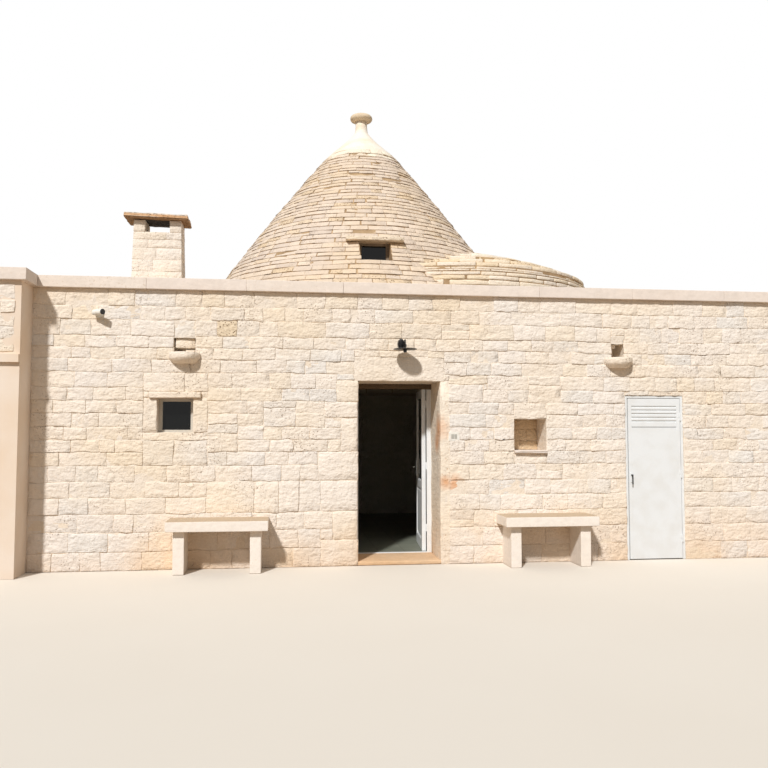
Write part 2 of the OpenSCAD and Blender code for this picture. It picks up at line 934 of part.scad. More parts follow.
dome_gap = 2;
dome_mid = drum_r - dome_x;
dome_level = roof_level + dome_z;
dome_top = dome_level + dome_rise;
dome_courses = ceil(dome_rise / dome_step);
// 1 would give the dome a straight side and 2 a round one
dome_curve = 1.2;
function dome_radius(rise) = dome_r * pow(1 - pow(rise / dome_rise, dome_curve), 1 / dome_curve);
// Courses are counted down from the top, so the lowest one may be a thin one
function course_level(i) = max(dome_level, dome_top - (dome_courses - i) * dome_step);

module dome_outside() {
    rotate_extrude($fn = 96)
        polygon(concat([[0, roof_level], [dome_r, roof_level]],
            [for (i = [0 : dome_courses - 1], z = [course_level(i), course_level(i + 1)])
                [dome_radius(course_level(i) - dome_level), z]],
            [[0, dome_top]]));
}

module dome_inside() {
    inner_r = dome_r - dome_t;
    rotate_extrude($fn = 96)
        polygon([[0, roof_level - through], [inner_r, roof_level - through],
            [inner_r, dome_level + dome_rise * dome_t / dome_r - dome_roof_t],
            [0, dome_top - dome_roof_t]]);
}

// Side -1 is the front half and 1 the back half
module dome_half(side) {
    intersection() {
        difference() {
            translate([dome_mid, 0, 0]) dome_outside();
            translate([dome_mid, 0, 0]) dome_inside();
            cone_space(dome_gap);
        }
        block([dome_mid - dome_r, dome_mid + dome_r], [min(0, side * dome_r), max(0, side * dome_r)],
            [roof_level, dome_top]);
    }
}

module side_dome_front() {
    color(limestone)
        dome_half(-1);
}

module side_dome_back() {
    color(limestone)
        dome_half(1);
}

// Chimney

// The stack stands behind the coping
chimney_y = -roof_y + coping_in;
chimney_level = roof_level + chimney_z;

module chimney_stack() {
    flue_y = chimney_y + chimney_d / 2;
    color(limestone) difference() {
        translate([chimney_x, chimney_y + chimney_d, roof_level])
            rotate([90, 0, 0])
                linear_extrude(chimney_d)
                    polygon([[-chimney_w / 2, 0], [chimney_w / 2, 0],
                        [chimney_top_w / 2, chimney_z],
                        [-chimney_top_w / 2, chimney_z]]);
        block([chimney_x - smoke_w / 2, chimney_x + smoke_w / 2],
            [flue_y - flue_d / 2, flue_y + flue_d / 2], [roof_level - through, chimney_level + through]);
        block([chimney_x - smoke_w / 2, chimney_x + smoke_w / 2],
            [chimney_y - through, chimney_y + chimney_d + through],
            [chimney_level - smoke_h, chimney_level + through]);
    }
}

module chimney_cap() {
    color(red_stone)
        block([chimney_x - chimney_cap_w / 2, chimney_x + chimney_cap_w / 2],
            [chimney_y - chimney_cap_front, chimney_y + chimney_d + chimney_cap_back],
            [chimney_level, chimney_level + chimney_cap_t]);
}

// Lamp over the door: wall plate, arm, round body, flat disc and lamp holder
lamp_plate_r = 42;
lamp_plate_t = 18;
lamp_arm_r = 11;
lamp_arm_rise = 60;
lamp_holder_r = 20;
lamp_holder_h = 34;

lamp_level = door_h + lintel_h + lamp_z;

module door_lamp() {
    y = -wall_y - lamp_reach;
    color(black_paint) {
        translate([lamp_x, -wall_y, lamp_level + lamp_arm_rise])
            rotate([90, 0, 0]) {
                cylinder(r = lamp_plate_r, h = lamp_plate_t, $fn = 32);
                cylinder(r = lamp_arm_r, h = lamp_reach, $fn = 24);
            }
        translate([lamp_x, y, lamp_level])
            cylinder(r = lamp_body_r, h = lamp_body_h, $fn = 32);
        translate([lamp_x, y, lamp_level - lamp_disc_t])
            cylinder(r = lamp_disc_r, h = lamp_disc_t, $fn = 64);
        translate([lamp_x, y, lamp_level - lamp_disc_t - lamp_holder_h])
            cylinder(r = lamp_holder_r, h = lamp_holder_h, $fn = 24);
    }
}

// Wall camera: round base, short stem and a barrel that looks along the front
camera_base_r = 36;
camera_base_t = 22;
camera_stem_r = 12;
camera_stem = 70;
camera_turn = 55;
camera_back = 60;

camera_level = wall_h - camera_z;

module wall_camera() {
    color(white_paint) translate([camera_x, -wall_y, camera_level]) {
        rotate([90, 0, 0]) {
            cylinder(r = camera_base_r, h = camera_base_t, $fn = 32);
            cylinder(r = camera_stem_r, h = camera_stem, $fn = 24);
        }
        translate([0, -camera_stem, 0])
            rotate([0, 0, camera_turn])
                translate([0, camera_back, 0])
                    rotate([90, 0, 0])
                        cylinder(r = camera_r, h = camera_l, $fn = 32);
    }
}

module switch_plate() {
    color(white_paint)
        block([switch_x - switch_w / 2, switch_x + switch_w / 2], [-wall_y - switch_t, -wall_y],
            [switch_z - switch_h / 2, switch_z + switch_h / 2]);
}

floor();
threshold();
front_wall_left();
front_wall_over_door();
front_wall_middle();
closet_wall();
front_wall_right();
right_wall();
back_wall();
left_wall();
wing_front_wall();
roof_ends();
roof_strips();
coping_front();
coping_wing();
coping_back();
coping_sides();
door_lintel();
door_frame();
door_leaf();
door_glass();
door_handle();
closet_frame();
closet_leaf();
closet_handle();
window_lintels();
window_frames();
window_glass();
niche_sill();
spouts();
bench_slabs();
bench_legs();
cone_front();
cone_right();
cone_back();
cone_left();
cone_cap();
pinnacle();
side_dome_front();
side_dome_back();
chimney_stack();
chimney_cap();
door_lamp();
wall_camera();
switch_plate();
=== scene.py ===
import math
import random

import bmesh
import bpy
from mathutils import Matrix, Vector, noise


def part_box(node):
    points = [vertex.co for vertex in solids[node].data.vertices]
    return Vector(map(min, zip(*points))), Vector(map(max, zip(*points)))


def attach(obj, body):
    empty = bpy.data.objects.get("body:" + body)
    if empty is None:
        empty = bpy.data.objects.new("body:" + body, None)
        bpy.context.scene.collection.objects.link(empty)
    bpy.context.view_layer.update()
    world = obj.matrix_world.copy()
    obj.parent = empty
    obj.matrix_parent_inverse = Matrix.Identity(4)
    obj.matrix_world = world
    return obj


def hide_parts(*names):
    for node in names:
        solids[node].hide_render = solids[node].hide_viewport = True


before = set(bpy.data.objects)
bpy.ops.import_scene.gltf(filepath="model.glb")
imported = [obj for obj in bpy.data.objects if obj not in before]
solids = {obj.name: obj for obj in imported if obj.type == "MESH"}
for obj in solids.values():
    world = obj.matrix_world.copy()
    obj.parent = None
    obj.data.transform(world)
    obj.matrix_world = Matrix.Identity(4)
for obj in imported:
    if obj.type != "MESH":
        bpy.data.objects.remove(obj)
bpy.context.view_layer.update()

scene = bpy.context.scene
scene.view_settings.view_transform = "Standard"


# Camera
# It stands at eye height in front of the house, a little left of the front door, and looks a little
# to the right and a little upwards.

eye = bpy.data.objects.new("eye", bpy.data.cameras.new("eye"))
eye.data.sensor_width = 36
eye.data.lens = 37.36
eye.data.clip_end = 200
eye.location = (-1.185, -12.235, 1.517)
eye.rotation_euler = (math.radians(93.5), 0, math.radians(-7.2))
scene.collection.objects.link(eye)
scene.camera = eye


# Studio floor and light
# A plain pale floor, one soft sun over the left shoulder, and even light from all round. A ray that
# comes straight from the camera, or out of glass or gloss, sees a white background.

def linear(hex_colour):
    """An sRGB colour such as #e9dcc8 as the linear values that a shader takes."""
    channels = [int(hex_colour[i:i + 2], 16) / 255 for i in (1, 3, 5)]
    return [c / 12.92 if c < 0.04045 else ((c + 0.055) / 1.055) ** 2.4 for c in channels] + [1]


def feed(tree, node, inputs):
    """Gives each input its value, its sRGB colour or its link. A node stands for its first output in use."""
    for name, value in inputs.items():
        if isinstance(value, bpy.types.Node):
            value = next(s for s in value.outputs if s.enabled)
        if isinstance(value, bpy.types.NodeSocket):
            tree.links.new(value, node.inputs[name])
        else:
            node.inputs[name].default_value = linear(value) if isinstance(value, str) else value


def add(tree, kind, inputs=None, **settings):
    """Adds one shader node with its settings, and feeds its inputs."""
    made = tree.nodes.new("ShaderNode" + kind)
    for name, value in settings.items():
        setattr(made, name, value)
    feed(tree, made, inputs or {})
    return made


def new_material(name, roughness, ior=1.5):
    """A material with its shader, its node tree and the place on the object in metres."""
    material = bpy.data.materials.new(name)
    material.use_nodes = True
    tree = material.node_tree
    shader = tree.nodes["Principled BSDF"]
    feed(tree, shader, {"Roughness": roughness, "IOR": ior})
    return material, shader, tree, add(tree, "TexCoord").outputs["Object"]


def seen_straight(tree):
    """1 for a ray from the camera or out of gloss or glass, 0 for light that bounces."""
    ray = add(tree, "LightPath").outputs
    seen = add(tree, "Math", {0: ray["Is Camera Ray"], 1: ray["Is Glossy Ray"]}, operation="ADD")
    return add(tree, "Math", {0: seen, 1: ray["Is Transmission Ray"]}, operation="ADD", use_clamp=True)


scene.world = bpy.data.worlds.new("even_light")
scene.world.use_nodes = True
sky = scene.world.node_tree
strength = add(sky, "MapRange", {0: seen_straight(sky), 3: 0.32, 4: 1.0})
feed(sky, sky.nodes["Background"], {"Color": "#ffffff", "Strength": strength})

sun = bpy.data.objects.new("sun", bpy.data.lights.new("sun", "SUN"))
sun.data.energy = 3.3
sun.data.angle = math.radians(4)
sun.rotation_euler = Vector((0.46, 1, -0.95)).to_track_quat("-Z", "Y").to_euler()
scene.collection.objects.link(sun)

# Plain matt floor, a warm off-white. Light that bounces meets it darker, so undersides keep their shade.
floor_paint, shader, tree, place = new_material("pale_studio_floor", 0.9)
mottle = add(tree, "TexNoise", {"Vector": place, "Scale": 0.6, "Detail": 2})
tint = add(tree, "Mix", {0: mottle, 6: "#e4dbce", 7: "#e8e0d4"}, data_type="RGBA")
tint = add(tree, "Mix", {0: seen_straight(tree), 6: "#a3907a", 7: tint}, data_type="RGBA")
feed(tree, shader, {"Base Color": tint})
bm = bmesh.new()
bmesh.ops.create_grid(bm, x_segments=1, y_segments=1, size=40)
bmesh.ops.translate(bm, vec=(0, 0, -0.002), verts=bm.verts)
floor_mesh = bpy.data.meshes.new("studio_floor")
bm.to_mesh(floor_mesh)
bm.free()
floor_mesh.materials.append(floor_paint)
studio_floor = bpy.data.objects.new("studio_floor", floor_mesh)
scene.collection.objects.link(studio_floor)


# Walls
# Two faces of squared limestone with stone chips and earth between them, set in a pale lime mortar
# that stands almost flush with the stones. Inside they are limewashed.

def coat(material, *names):
    """Gives CAD solids their own material."""
    for name in names:
        solids[name].data.materials.clear()
        solids[name].data.materials.append(material)


# Lime mortar, pointed by hand: matt, sandy, with fine hollows
mortar, shader, tree, place = new_material("lime_mortar", 0.92)
cloud = add(tree, "TexNoise", {"Vector": place, "Scale": 2.3, "Detail": 4})
share = add(tree, "MapRange", {0: cloud, 1: 0.35, 2: 0.7})
colour = add(tree, "Mix", {0: share, 6: "#eee2d3", 7: "#ead9c3"}, data_type="RGBA")
axes = add(tree, "SeparateXYZ", {0: place}).outputs
earth = add(tree, "MapRange", {0: axes["Z"], 1: 0.5, 2: 0.0, 4: 0.5})
colour = add(tree, "Mix", {0: earth, 6: colour, 7: "#e2c39a"}, data_type="RGBA")
# The rooms inside: limewash over plaster, up to the ceiling, greyed and darkened a little as painted shade of
# the dim rooms
indoor_limewash_shade = add(tree, "Math", {0: axes["Z"], 1: 2.23}, operation="LESS_THAN")
for axis, middle, reach in (("X", 0.075, 4.58), ("Y", 0.0, 2.41)):
    within = add(tree, "Math", {0: axes[axis], 1: middle, 2: reach}, operation="COMPARE")
    indoor_limewash_shade = add(tree, "Math", {0: indoor_limewash_shade, 1: within}, operation="MULTIPLY")
colour = add(tree, "Mix", {0: indoor_limewash_shade, 6: colour, 7: "#d8d0c2"}, data_type="RGBA")
sand = add(tree, "TexNoise", {"Vector": place, "Scale": 70, "Detail": 3})
trowel = add(tree, "TexNoise", {"Vector": place, "Scale": 17, "Detail": 4, "Roughness": 0.6})
uneven = add(tree, "Math", {0: sand, 1: 0.2, 2: trowel}, operation="MULTIPLY_ADD")
bump = add(tree, "Bump", {"Height": uneven, "Strength": 0.8, "Distance": 0.024})
feed(tree, shader, {"Base Color": colour, "Normal": bump})
coat(mortar, "front_wall_left", "front_wall_over_door", "front_wall_middle", "closet_wall",
     "front_wall_right", "right_wall", "back_wall")


# Squared stones of the walls' outer faces
# Limestone blocks 200 to 450 mm long, roughly dressed with a pick and laid in courses of 120 to 200
# mm. Their edges are broken, and the mortar is smeared over them, so each outline comes and goes.

def limestone(name, tones, warm, pits, roughness=0.88, relief=0.6, low_stain=0.0, whitewash=None,
              rust=(), top=None, underside_shade=None):
    """Limestone whose colour runs through the given tones from stone to stone.

    low_stain, whitewash (the heights where it ends) and rust (stains as x, y, z and reach) are what
    weather and people added. top is the colour of faces that look up, and underside_shade is painted
    shade on faces that look down.
    """
    material, shader, tree, place = new_material(name, roughness)
    tone = add(tree, "Attribute", attribute_name="tone").outputs["Fac"]
    ramp = add(tree, "ValToRGB", {0: tone})
    for i in range(1, len(tones) - 1):
        ramp.color_ramp.elements.new(i / (len(tones) - 1))
    for stop, hex_colour in zip(ramp.color_ramp.elements, tones):
        stop.color = linear(hex_colour)
    # Soft warm clouds a metre across, and patches of 80 mm within a stone
    cloud = add(tree, "TexNoise", {"Vector": place, "Scale": 1.1, "Detail": 3})
    share = add(tree, "MapRange", {0: cloud, 1: 0.42, 2: 0.7, 4: 0.5})
    colour = add(tree, "Mix", {0: share, 6: ramp, 7: warm}, data_type="RGBA")
    patch = add(tree, "TexNoise", {"Vector": place, "Scale": 12, "Detail": 5, "Roughness": 0.7})
    shade = add(tree, "MapRange", {0: patch, 1: 0.3, 2: 0.7, 3: 0.92, 4: 1.05})
    colour = add(tree, "Mix", {0: 1.0, 6: colour, 7: shade}, data_type="RGBA", blend_type="MULTIPLY")
    height = add(tree, "SeparateXYZ", {0: place}).outputs["Z"]
    if low_stain:
        # Damp, yellow earth that splashed up from the ground
        low = add(tree, "MapRange", {0: height, 1: 0.75, 2: 0.0, 4: low_stain})
        uneven = add(tree, "MapRange", {0: cloud, 1: 0.3, 2: 0.6})
        stain = add(tree, "Math", {0: low, 1: uneven}, operation="MULTIPLY")
        colour = add(tree, "Mix", {0: stain, 6: colour, 7: "#e4b47c"}, data_type="RGBA")
    # Pits of 10 to 20 mm where shells and soft spots fell out, in places and all over a few stones
    hole = add(tree, "TexNoise", {"Vector": place, "Scale": 48, "Detail": 2})
    hole = add(tree, "MapRange", {0: hole, 1: 0.6, 2: 0.7})
    region = add(tree, "TexNoise", {"Vector": place, "Scale": 3.1, "Detail": 1})
    region = add(tree, "MapRange", {0: region, 1: 0.48, 2: 0.66})
    pitted = add(tree, "MapRange", {0: tone, 1: 0.85, 2: 0.95, 4: 2.6})
    many = add(tree, "Math", {0: region, 1: pitted}, operation="MAXIMUM")
    pit = add(tree, "Math", {0: hole, 1: many}, operation="MULTIPLY")
    faint = add(tree, "Math", {0: pit, 1: 0.6}, operation="MULTIPLY", use_clamp=True)
    colour = add(tree, "Mix", {0: faint, 6: colour, 7: pits}, data_type="RGBA")
    if whitewash:
        # Whitewash that ran down over the upper courses
        run = add(tree, "TexNoise", {"Vector": place, "Scale": 5, "Detail": 4})
        edge = add(tree, "Math", {0: run, 1: 0.55, 2: height}, operation="MULTIPLY_ADD")
        cover = add(tree, "MapRange", {0: edge, 1: whitewash[0], 2: whitewash[1]})
        colour = add(tree, "Mix", {0: cover, 6: colour, 7: "#f3e6d0"}, data_type="RGBA")
    for x, y, z, reach in rust:
        away = add(tree, "VectorMath", {0: place, 1: (x, y, z)}, operation="DISTANCE")
        away = add(tree, "Math", {0: patch, 1: -0.9 * reach, 2: away}, operation="MULTIPLY_ADD")
        blot = add(tree, "MapRange", {0: away, 1: 0.6 * reach, 2: -0.3 * reach, 4: 0.85})
        colour = add(tree, "Mix", {0: blot, 6: colour, 7: "#dca272"}, data_type="RGBA")
    facing = add(tree, "SeparateXYZ", {0: add(tree, "NewGeometry").outputs["Normal"]}).outputs["Z"]
    # Faces that look up take the top colour, and faces that look down take underside_shade, a painted shade
    for side, paint in ((1, top), (-1, underside_shade)):
        if paint:
            share = add(tree, "MapRange", {0: facing, 1: 0.4 * side, 2: 0.9 * side})
            colour = add(tree, "Mix", {0: share, 6: colour, 7: paint}, data_type="RGBA")
    # Pick marks that run down to the right, 40 mm apart, chips of 50 mm, and a 30 mm grain, all coarse
    # enough to show
    slant = add(tree, "Mapping", {"Vector": place, "Rotation": (0.2, 0.9, 0.3), "Scale": (10, 10, 34)})
    picks = add(tree, "TexNoise", {"Vector": slant, "Scale": 1.0, "Detail": 2})
    bent = add(tree, "TexNoise", {"Vector": place, "Scale": 9, "Detail": 2}).outputs["Color"]
    bent = add(tree, "VectorMath", {0: bent, 1: (0.09, 0.09, 0.09), 2: place}, operation="MULTIPLY_ADD")
    chips = add(tree, "TexVoronoi", {"Vector": bent, "Scale": 19})
    grain = add(tree, "TexNoise", {"Vector": place, "Scale": 30, "Detail": 4, "Roughness": 0.6})
    surface = add(tree, "Math", {0: picks, 1: 0.7, 2: grain}, operation="MULTIPLY_ADD")
    for dent, depth in ((chips, -0.55), (pit, -0.5)):
        surface = add(tree, "Math", {0: dent, 1: depth, 2: surface}, operation="MULTIPLY_ADD")
    bump = add(tree, "Bump", {"Height": surface, "Strength": relief, "Distance": 0.022})
    feed(tree, shader, {"Base Color": colour, "Normal": bump})
    return material


def set_piece(name, bm, material, body="root", stands_for=()):
    """Makes the bmesh a finished piece that rides on its body."""
    bmesh.ops.recalc_face_normals(bm, faces=bm.faces)
    for face in bm.faces:
        face.smooth = True
    mesh = bpy.data.meshes.new(name)
    bm.to_mesh(mesh)
    bm.free()
    mesh.materials.append(material)
    piece = bpy.data.objects.new(name, mesh)
    scene.collection.objects.link(piece)
    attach(piece, body)
    if stands_for:
        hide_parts(*stands_for)
    return piece


# Without a seed, noise_vector starts from the clock, and the stones differ from run to run
noise.seed_set(12)


def rough_stones(spots, place, seed, cuts=4, soft=0.016, crown=0.011, rough=0.004, whole=False, tones=(0, 1)):
    """One stone for each spot (left, right, bottom, top, back, front) of a face, in metres.

    Each starts as a cube. Its outer side, or all of it where the whole block shows, is divided, its
    outer ring is drawn to the edges and let down, and the rest is roughened. place() takes a point
    (along, up, out) of the spot to the house. A seventh value of a spot is its own tone.
    """
    chance = random.Random(seed)
    bm = bmesh.new()
    which = bm.verts.layers.float.new("which")
    tone = bm.verts.layers.float.new("tone")
    for i in range(len(spots)):
        for v in bmesh.ops.create_cube(bm, size=1)["verts"]:
            v[which] = i
    worked = [e for e in bm.edges if whole or all(v.co.z > 0 for v in e.verts)]
    bmesh.ops.subdivide_edges(bm, edges=worked, cuts=cuts, use_grid_fill=True)
    bm.normal_update()
    tilts = [[chance.uniform(-1, 1) for _ in range(3)] for _ in spots]
    shades = [chance.uniform(*tones) if len(s) < 7 else s[6] for s in spots]
    parts = cuts + 1
    for v in bm.verts:
        i = round(v[which])
        spot = spots[i]
        sizes = [spot[2 * k + 1] - spot[2 * k] for k in range(3)]
        steps = [round((c + 0.5) * parts) for c in v.co]
        sides = [-1 if s == 0 else 1 if s == parts else 0 for s in steps]
        ends = sum(abs(s) for s in sides)
        point = []
        for k in range(3):
            ring = min(soft, 0.3 * sizes[k])
            share = {0: 0, 1: ring / sizes[k], parts - 1: 1 - ring / sizes[k], parts: 1}.get(
                steps[k], steps[k] / parts)
            point.append(spot[2 * k] + share * sizes[k])
        seed_point = Vector(point) * 11 + Vector((0, 0, 7.3 * i))
        hollow = noise.noise_vector(seed_point) + 0.5 * noise.noise_vector(2.6 * seed_point)
        for k in range(3):
            if whole or k < 2:
                # Edges are worn by 0.28 of the ring's width, and corners by half
                point[k] -= sides[k] * soft * (0, 0, 0.28, 0.5)[ends]
                point[k] += (abs(sides[k]) if ends < 3 else 0.5) * rough * hollow[k]
        if not whole and sides[2] > 0:
            lean = tilts[i][0] * (steps[0] / parts - 0.5) + tilts[i][1] * (steps[1] / parts - 0.5)
            drop = crown * (0.3 + 1.6 * abs(hollow[0])) if ends > 1 else 0
            point[2] += rough * (hollow[2] + lean + 0.5 * tilts[i][2]) - drop
        v[tone] = shades[i]
        v.co = place(point[0], point[1], point[2], spot)
    bm.verts.layers.float.remove(which)
    return bm


def courses(left, right, lines, holes, seed, shortest=0.2, longest=0.46, thin=0.02):
    """Spots for squared stones between the course lines and round the holes, with broken joints."""
    chance = random.Random(seed)
    edges = sorted({left, right, *[x for h in holes for x in h[:2] if left < x < right]})
    rows = {}
    for a, b in zip(edges, edges[1:]):
        blocked = sorted(h[2:4] for h in holes if h[0] < (a + b) / 2 < h[1])
        floor_level = lines[0]
        for low, high in blocked + [(lines[-1], lines[-1])]:
            if low > floor_level + 0.02:
                levels = [floor_level, *[z for z in lines if floor_level + 0.05 < z < low - 0.05], low]
                for span in zip(levels, levels[1:]):
                    runs = rows.setdefault(span, [])
                    if runs and abs(runs[-1][1] - a) < 1e-6:
                        runs[-1][1] = b
                    else:
                        runs.append([a, b])
            floor_level = max(floor_level, high)
    spots, joints = [], {}
    for (low, high), runs in sorted(rows.items()):
        for a, b in runs:
            x = a
            while x < b - 1e-6:
                length = chance.uniform(shortest, longest) * (0.8 if high - low < 0.14 else 1)
                # No joint stands within 50 mm of one below, and no last stone is a sliver
                if any(abs(x + length - j) < 0.05 for j in joints.get(low, [])):
                    length += 0.09
                if b - x < length + 0.7 * shortest:
                    length = b - x if b - x < 1.15 * longest else (b - x) * chance.uniform(0.42, 0.58)
                if high - low > 0.16 and chance.random() < thin:
                    middle = low + (high - low) * chance.uniform(0.4, 0.6)
                    spots += [(x, x + length, low, middle), (x, x + length, middle, high)]
                else:
                    spots.append((x, x + length, low, high))
                x += length
                joints.setdefault(high, []).append(x)
    return spots


def bedded(spots, seed, joint=0.0003, back=-0.05, proud=(0.004, 0.009)):
    """The spots of squared stones, let in by their joints and given their depths in the wall."""
    chance = random.Random(seed)
    return [(s[0] + joint, s[1] - joint, s[2] + joint, s[3] - joint, back, chance.uniform(*proud), *s[4:])
            for s in spots]


def wall_place(turn, distance, top):
    """The place() of a wall that faces the front when turned by nothing, at a distance from the axis.

    The joints wander by up to 20 mm, but for those at the foot and under the coping.
    """
    turned = Matrix.Rotation(math.radians(turn), 3, "Z")

    def place(along, up, out, spot):
        drift = noise.noise_vector(Vector((along * 3.1, up * 4.3, turn)))
        drift += 0.7 * noise.noise_vector(Vector((along * 11, up * 13, turn + 2)))
        slow = noise.noise(Vector((along * 0.5, up * 0.8, turn + 5)))
        level = min(1, up / 0.15, (top - up) / 0.15)
        return turned @ Vector((along + 0.013 * drift.x, -distance - out,
                                up + level * (0.013 * drift.y + 0.014 * slow)))

    return place


def set_wall_stones(name, spots, place, seed, cuts, tones=(0, 0.8)):
    """Makes the squared stones of one wall, rough and almost flat, with barely rounded edges."""
    bm = rough_stones(spots, place, seed, cuts, soft=0.008, crown=0.003, rough=0.007, tones=tones)
    set_piece(name, bm, dressed)


front_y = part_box("front_wall_left")[0].y
right_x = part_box("right_wall")[1].x
left_x, wing_x = [corner.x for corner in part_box("wing_front_wall")]
wall_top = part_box("front_wall_left")[1].z
course_lines = [0, 0.21, 0.42, 0.62, 0.8, 0.97, 1.15, 1.3, 1.435, 1.575, 1.73, 1.87, 2.02, 2.19, 2.34,
                2.475, 2.61, 2.79, 2.95, wall_top]
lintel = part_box("door_lintel")
doorway = (lintel[0].x + 0.04, lintel[1].x - 0.04)
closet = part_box("closet_frame")
window_x, window_z = (-2.5905, -2.1935), (1.516, 1.906)
over_x, over_z = (-2.6785, -2.1055), (1.906, 1.976)
# The middle and the width of each spout's hole
spouts_at = ((-2.296, 0.24), (2.824, 0.16))
# Doorways, lintels, window, niche with its sill, and the two holes for rain water
front_holes = [(*doorway, 0, lintel[0].z), (lintel[0].x, lintel[1].x, lintel[0].z, lintel[1].z),
               (closet[0].x, closet[1].x, 0, closet[1].z), (*window_x, *window_z), (*over_x, *over_z),
               (1.527, 1.92, 1.27, 1.68), *[(x - w / 2, x + w / 2, 2.42, 2.59) for x, w in spouts_at]]
# Stones that catch the eye: round the window, beside the door, and the brown pitted one
around = (-2.735, -2.03)
marked = [(around[0], window_x[0], *window_z, 0.5), (window_x[1], around[1], *window_z, 0.45),
          (around[0], over_x[0], *over_z, 0.6), (over_x[1], around[1], *over_z, 0.5),
          (*around, 1.435, 1.516, 0.62), (around[0], -2.4, 1.15, 1.435, 0.02),
          (-2.4, around[1], 1.15, 1.435, 0.1), (-2.03, -1.7, 1.3, 1.5, 0.66),
          (-2.03, -1.7, 1.5, 1.605, 0.04), (-1.41, -1.04, 1.575, 1.8, 0.16),
          (-1.41, -1.2, 1.435, 1.575, 0.8), (-0.885, -0.575, 1.87, 2.02, 0.03),
          (-1.505, -1.23, 0.62, 0.97, 0.7), (-1.23, -1.0, 0.62, 0.97, 0.6), (-1.0, -0.755, 0.62, 0.97, 0.3),
          (-2.03, -1.505, 0.62, 0.97, 0.72), (-1.94, -1.715, 2.61, 2.79, 1.0),
          (-1.715, -1.46, 2.61, 2.79, 0.12), (0.745, 1.2, 2.085, 2.19, 0.82),
          (1.71, 2.1, 1.87, 2.085, 0.4), (0.985, 1.4, 0.97, 1.15, 0.75), (0.745, 1.15, 1.87, 2.085, 0.3)]
# The stones of the door's jambs and of the corners go through, so the courses stop at them
rough_jambs = [(0, 0.3, 0.42), (0.3, 0.62, 0.28), (0.62, 0.97, 0.42), (0.97, 1.3, 0.45), (1.3, 1.69, 0.19),
               (1.69, 1.87, 0.38), (1.87, 2.12, 0.24)]
smooth_jamb = (0, 2.12, 0.1)
jamb_spots = [(doorway[0] - w, doorway[0], low, high) for low, high, w in rough_jambs]
jamb_spots.append((doorway[1], doorway[1] + smooth_jamb[2], *smooth_jamb[:2]))
corner_lines = [0, 0.3, 0.62, 0.97, 1.3, 1.575, 1.87, 2.19, 2.475, 2.79, wall_top]
corners = [(low, high, (0.48, 0.27)[i % 2], (0.27, 0.48)[i % 2])
           for i, (low, high) in enumerate(zip(corner_lines, corner_lines[1:]))]
# Dry, sun-bleached limestone: cream, with grey, pink and straw-coloured stones and a few rusty pits
dressed = limestone("dressed_limestone", ["#e9e2d9", "#efe5da", "#f1e5d7", "#f2e6d8", "#f0e2cf", "#e4d1b5"],
                    "#efd9b8", "#7f5b3a", low_stain=0.4, rust=[(0.8, -3.06, 0.92, 0.13)])

holes = front_holes + [m[:4] for m in marked] + jamb_spots
holes += [(right_x - w, right_x, low, high) for low, high, w, _ in corners]
spots = bedded(courses(wing_x, right_x, course_lines, holes, 4) + marked, 20)
set_wall_stones("front_wall_stones", spots, wall_place(0, -front_y, wall_top), 11, cuts=8)

# The right end wall, seen along +Y, and the back wall, seen along -X. The back one has the window's twin.
holes = [(front_y, front_y + w, low, high) for low, high, _, w in corners]
holes += [(-front_y - w, -front_y, low, high) for low, high, _, w in corners]
spots = bedded(courses(front_y, -front_y, course_lines, holes, 5), 21)
set_wall_stones("right_wall_stones", spots, wall_place(90, right_x, wall_top), 12, cuts=5)
holes = [(-right_x, -right_x + w, low, high) for low, high, w, _ in corners]
holes += [(-x[1], -x[0], *z) for x, z in ((window_x, window_z), (over_x, over_z))]
spots = bedded(courses(-right_x, -left_x, course_lines, holes, 6), 22)
set_wall_stones("back_wall_stones", spots, wall_place(180, -front_y, wall_top), 13, cuts=5)


# Corner stones and door jambs
# Longer blocks that turn the corners and line the front doorway, laid long and short in turn. The
# right jamb is smoothed over with lime and has orange stains.

def box_spot(x, y, z, *tone):
    """The spot of a whole block from its limits along X, Y and Z."""
    return (*x, *z, -y[1], -y[0], *tone)


def upright(along, up, out, spot):
    return Vector((along, -out, up))


def set_blocks(name, blocks, seed, material, slot, stands_for=(), place=upright, flat=False, **shape):
    """Makes whole blocks one piece. Sawn ones keep flat faces between their edges."""
    piece = set_piece(name, rough_stones(blocks, place, seed, whole=True, **shape), material,
                      stands_for=stands_for)
    if flat:
        piece.modifiers.new("flat_faces", "WEIGHTED_NORMAL")


proud, joint = 0.011, 0.004
blocks = []
for low, high, along_front, along_side in corners:
    for side in (-1, 1):
        ends = sorted((side * (-front_y + proud), side * (-front_y - along_side)))
        blocks.append(box_spot((right_x - along_front + joint, right_x + proud), ends,
                               (low + joint, high - joint)))
set_blocks("corner_stones", blocks, 14, dressed, "limestone_masonry", cuts=3, soft=0.02, tones=(0.1, 0.8))

jamb_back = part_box("door_frame")[0].y
blocks = []
for i, (low, high, width) in enumerate(rough_jambs):
    split = front_y + (0.26, 0.34)[i % 2]
    for j, depth in enumerate(((front_y - 0.008, split - 0.002), (split + 0.002, jamb_back))):
        edge = doorway[0] + (0.012, -0.004, 0.006)[(i + j) % 3]
        blocks.append(box_spot((doorway[0] - width, edge), depth, (low + 0.001, high - 0.001)))
set_blocks("left_door_jamb", blocks, 15, dressed, "limestone_masonry", cuts=6, soft=0.014, rough=0.011,
           tones=(0.3, 0.8))
low, high, width = smooth_jamb
blocks = [box_spot((doorway[1] - 0.006, doorway[1] + width + 0.006), (front_y - 0.003, jamb_back),
                   (low, high), 0.5)]
stained = limestone("limed_jamb_stone", ["#f2e5d5", "#f3e6d4", "#eedabd"], "#f1dec2", "#c9986c", relief=0.45,
                    low_stain=0.4, rust=[(0.645, -2.94, 1.57, 0.2), (0.645, -2.85, 1.4, 0.16),
                                         (0.7, -3.06, 0.94, 0.11)])
set_blocks("right_door_jamb", blocks, 16, stained, "limestone_masonry", cuts=13, soft=0.006, rough=0.01)
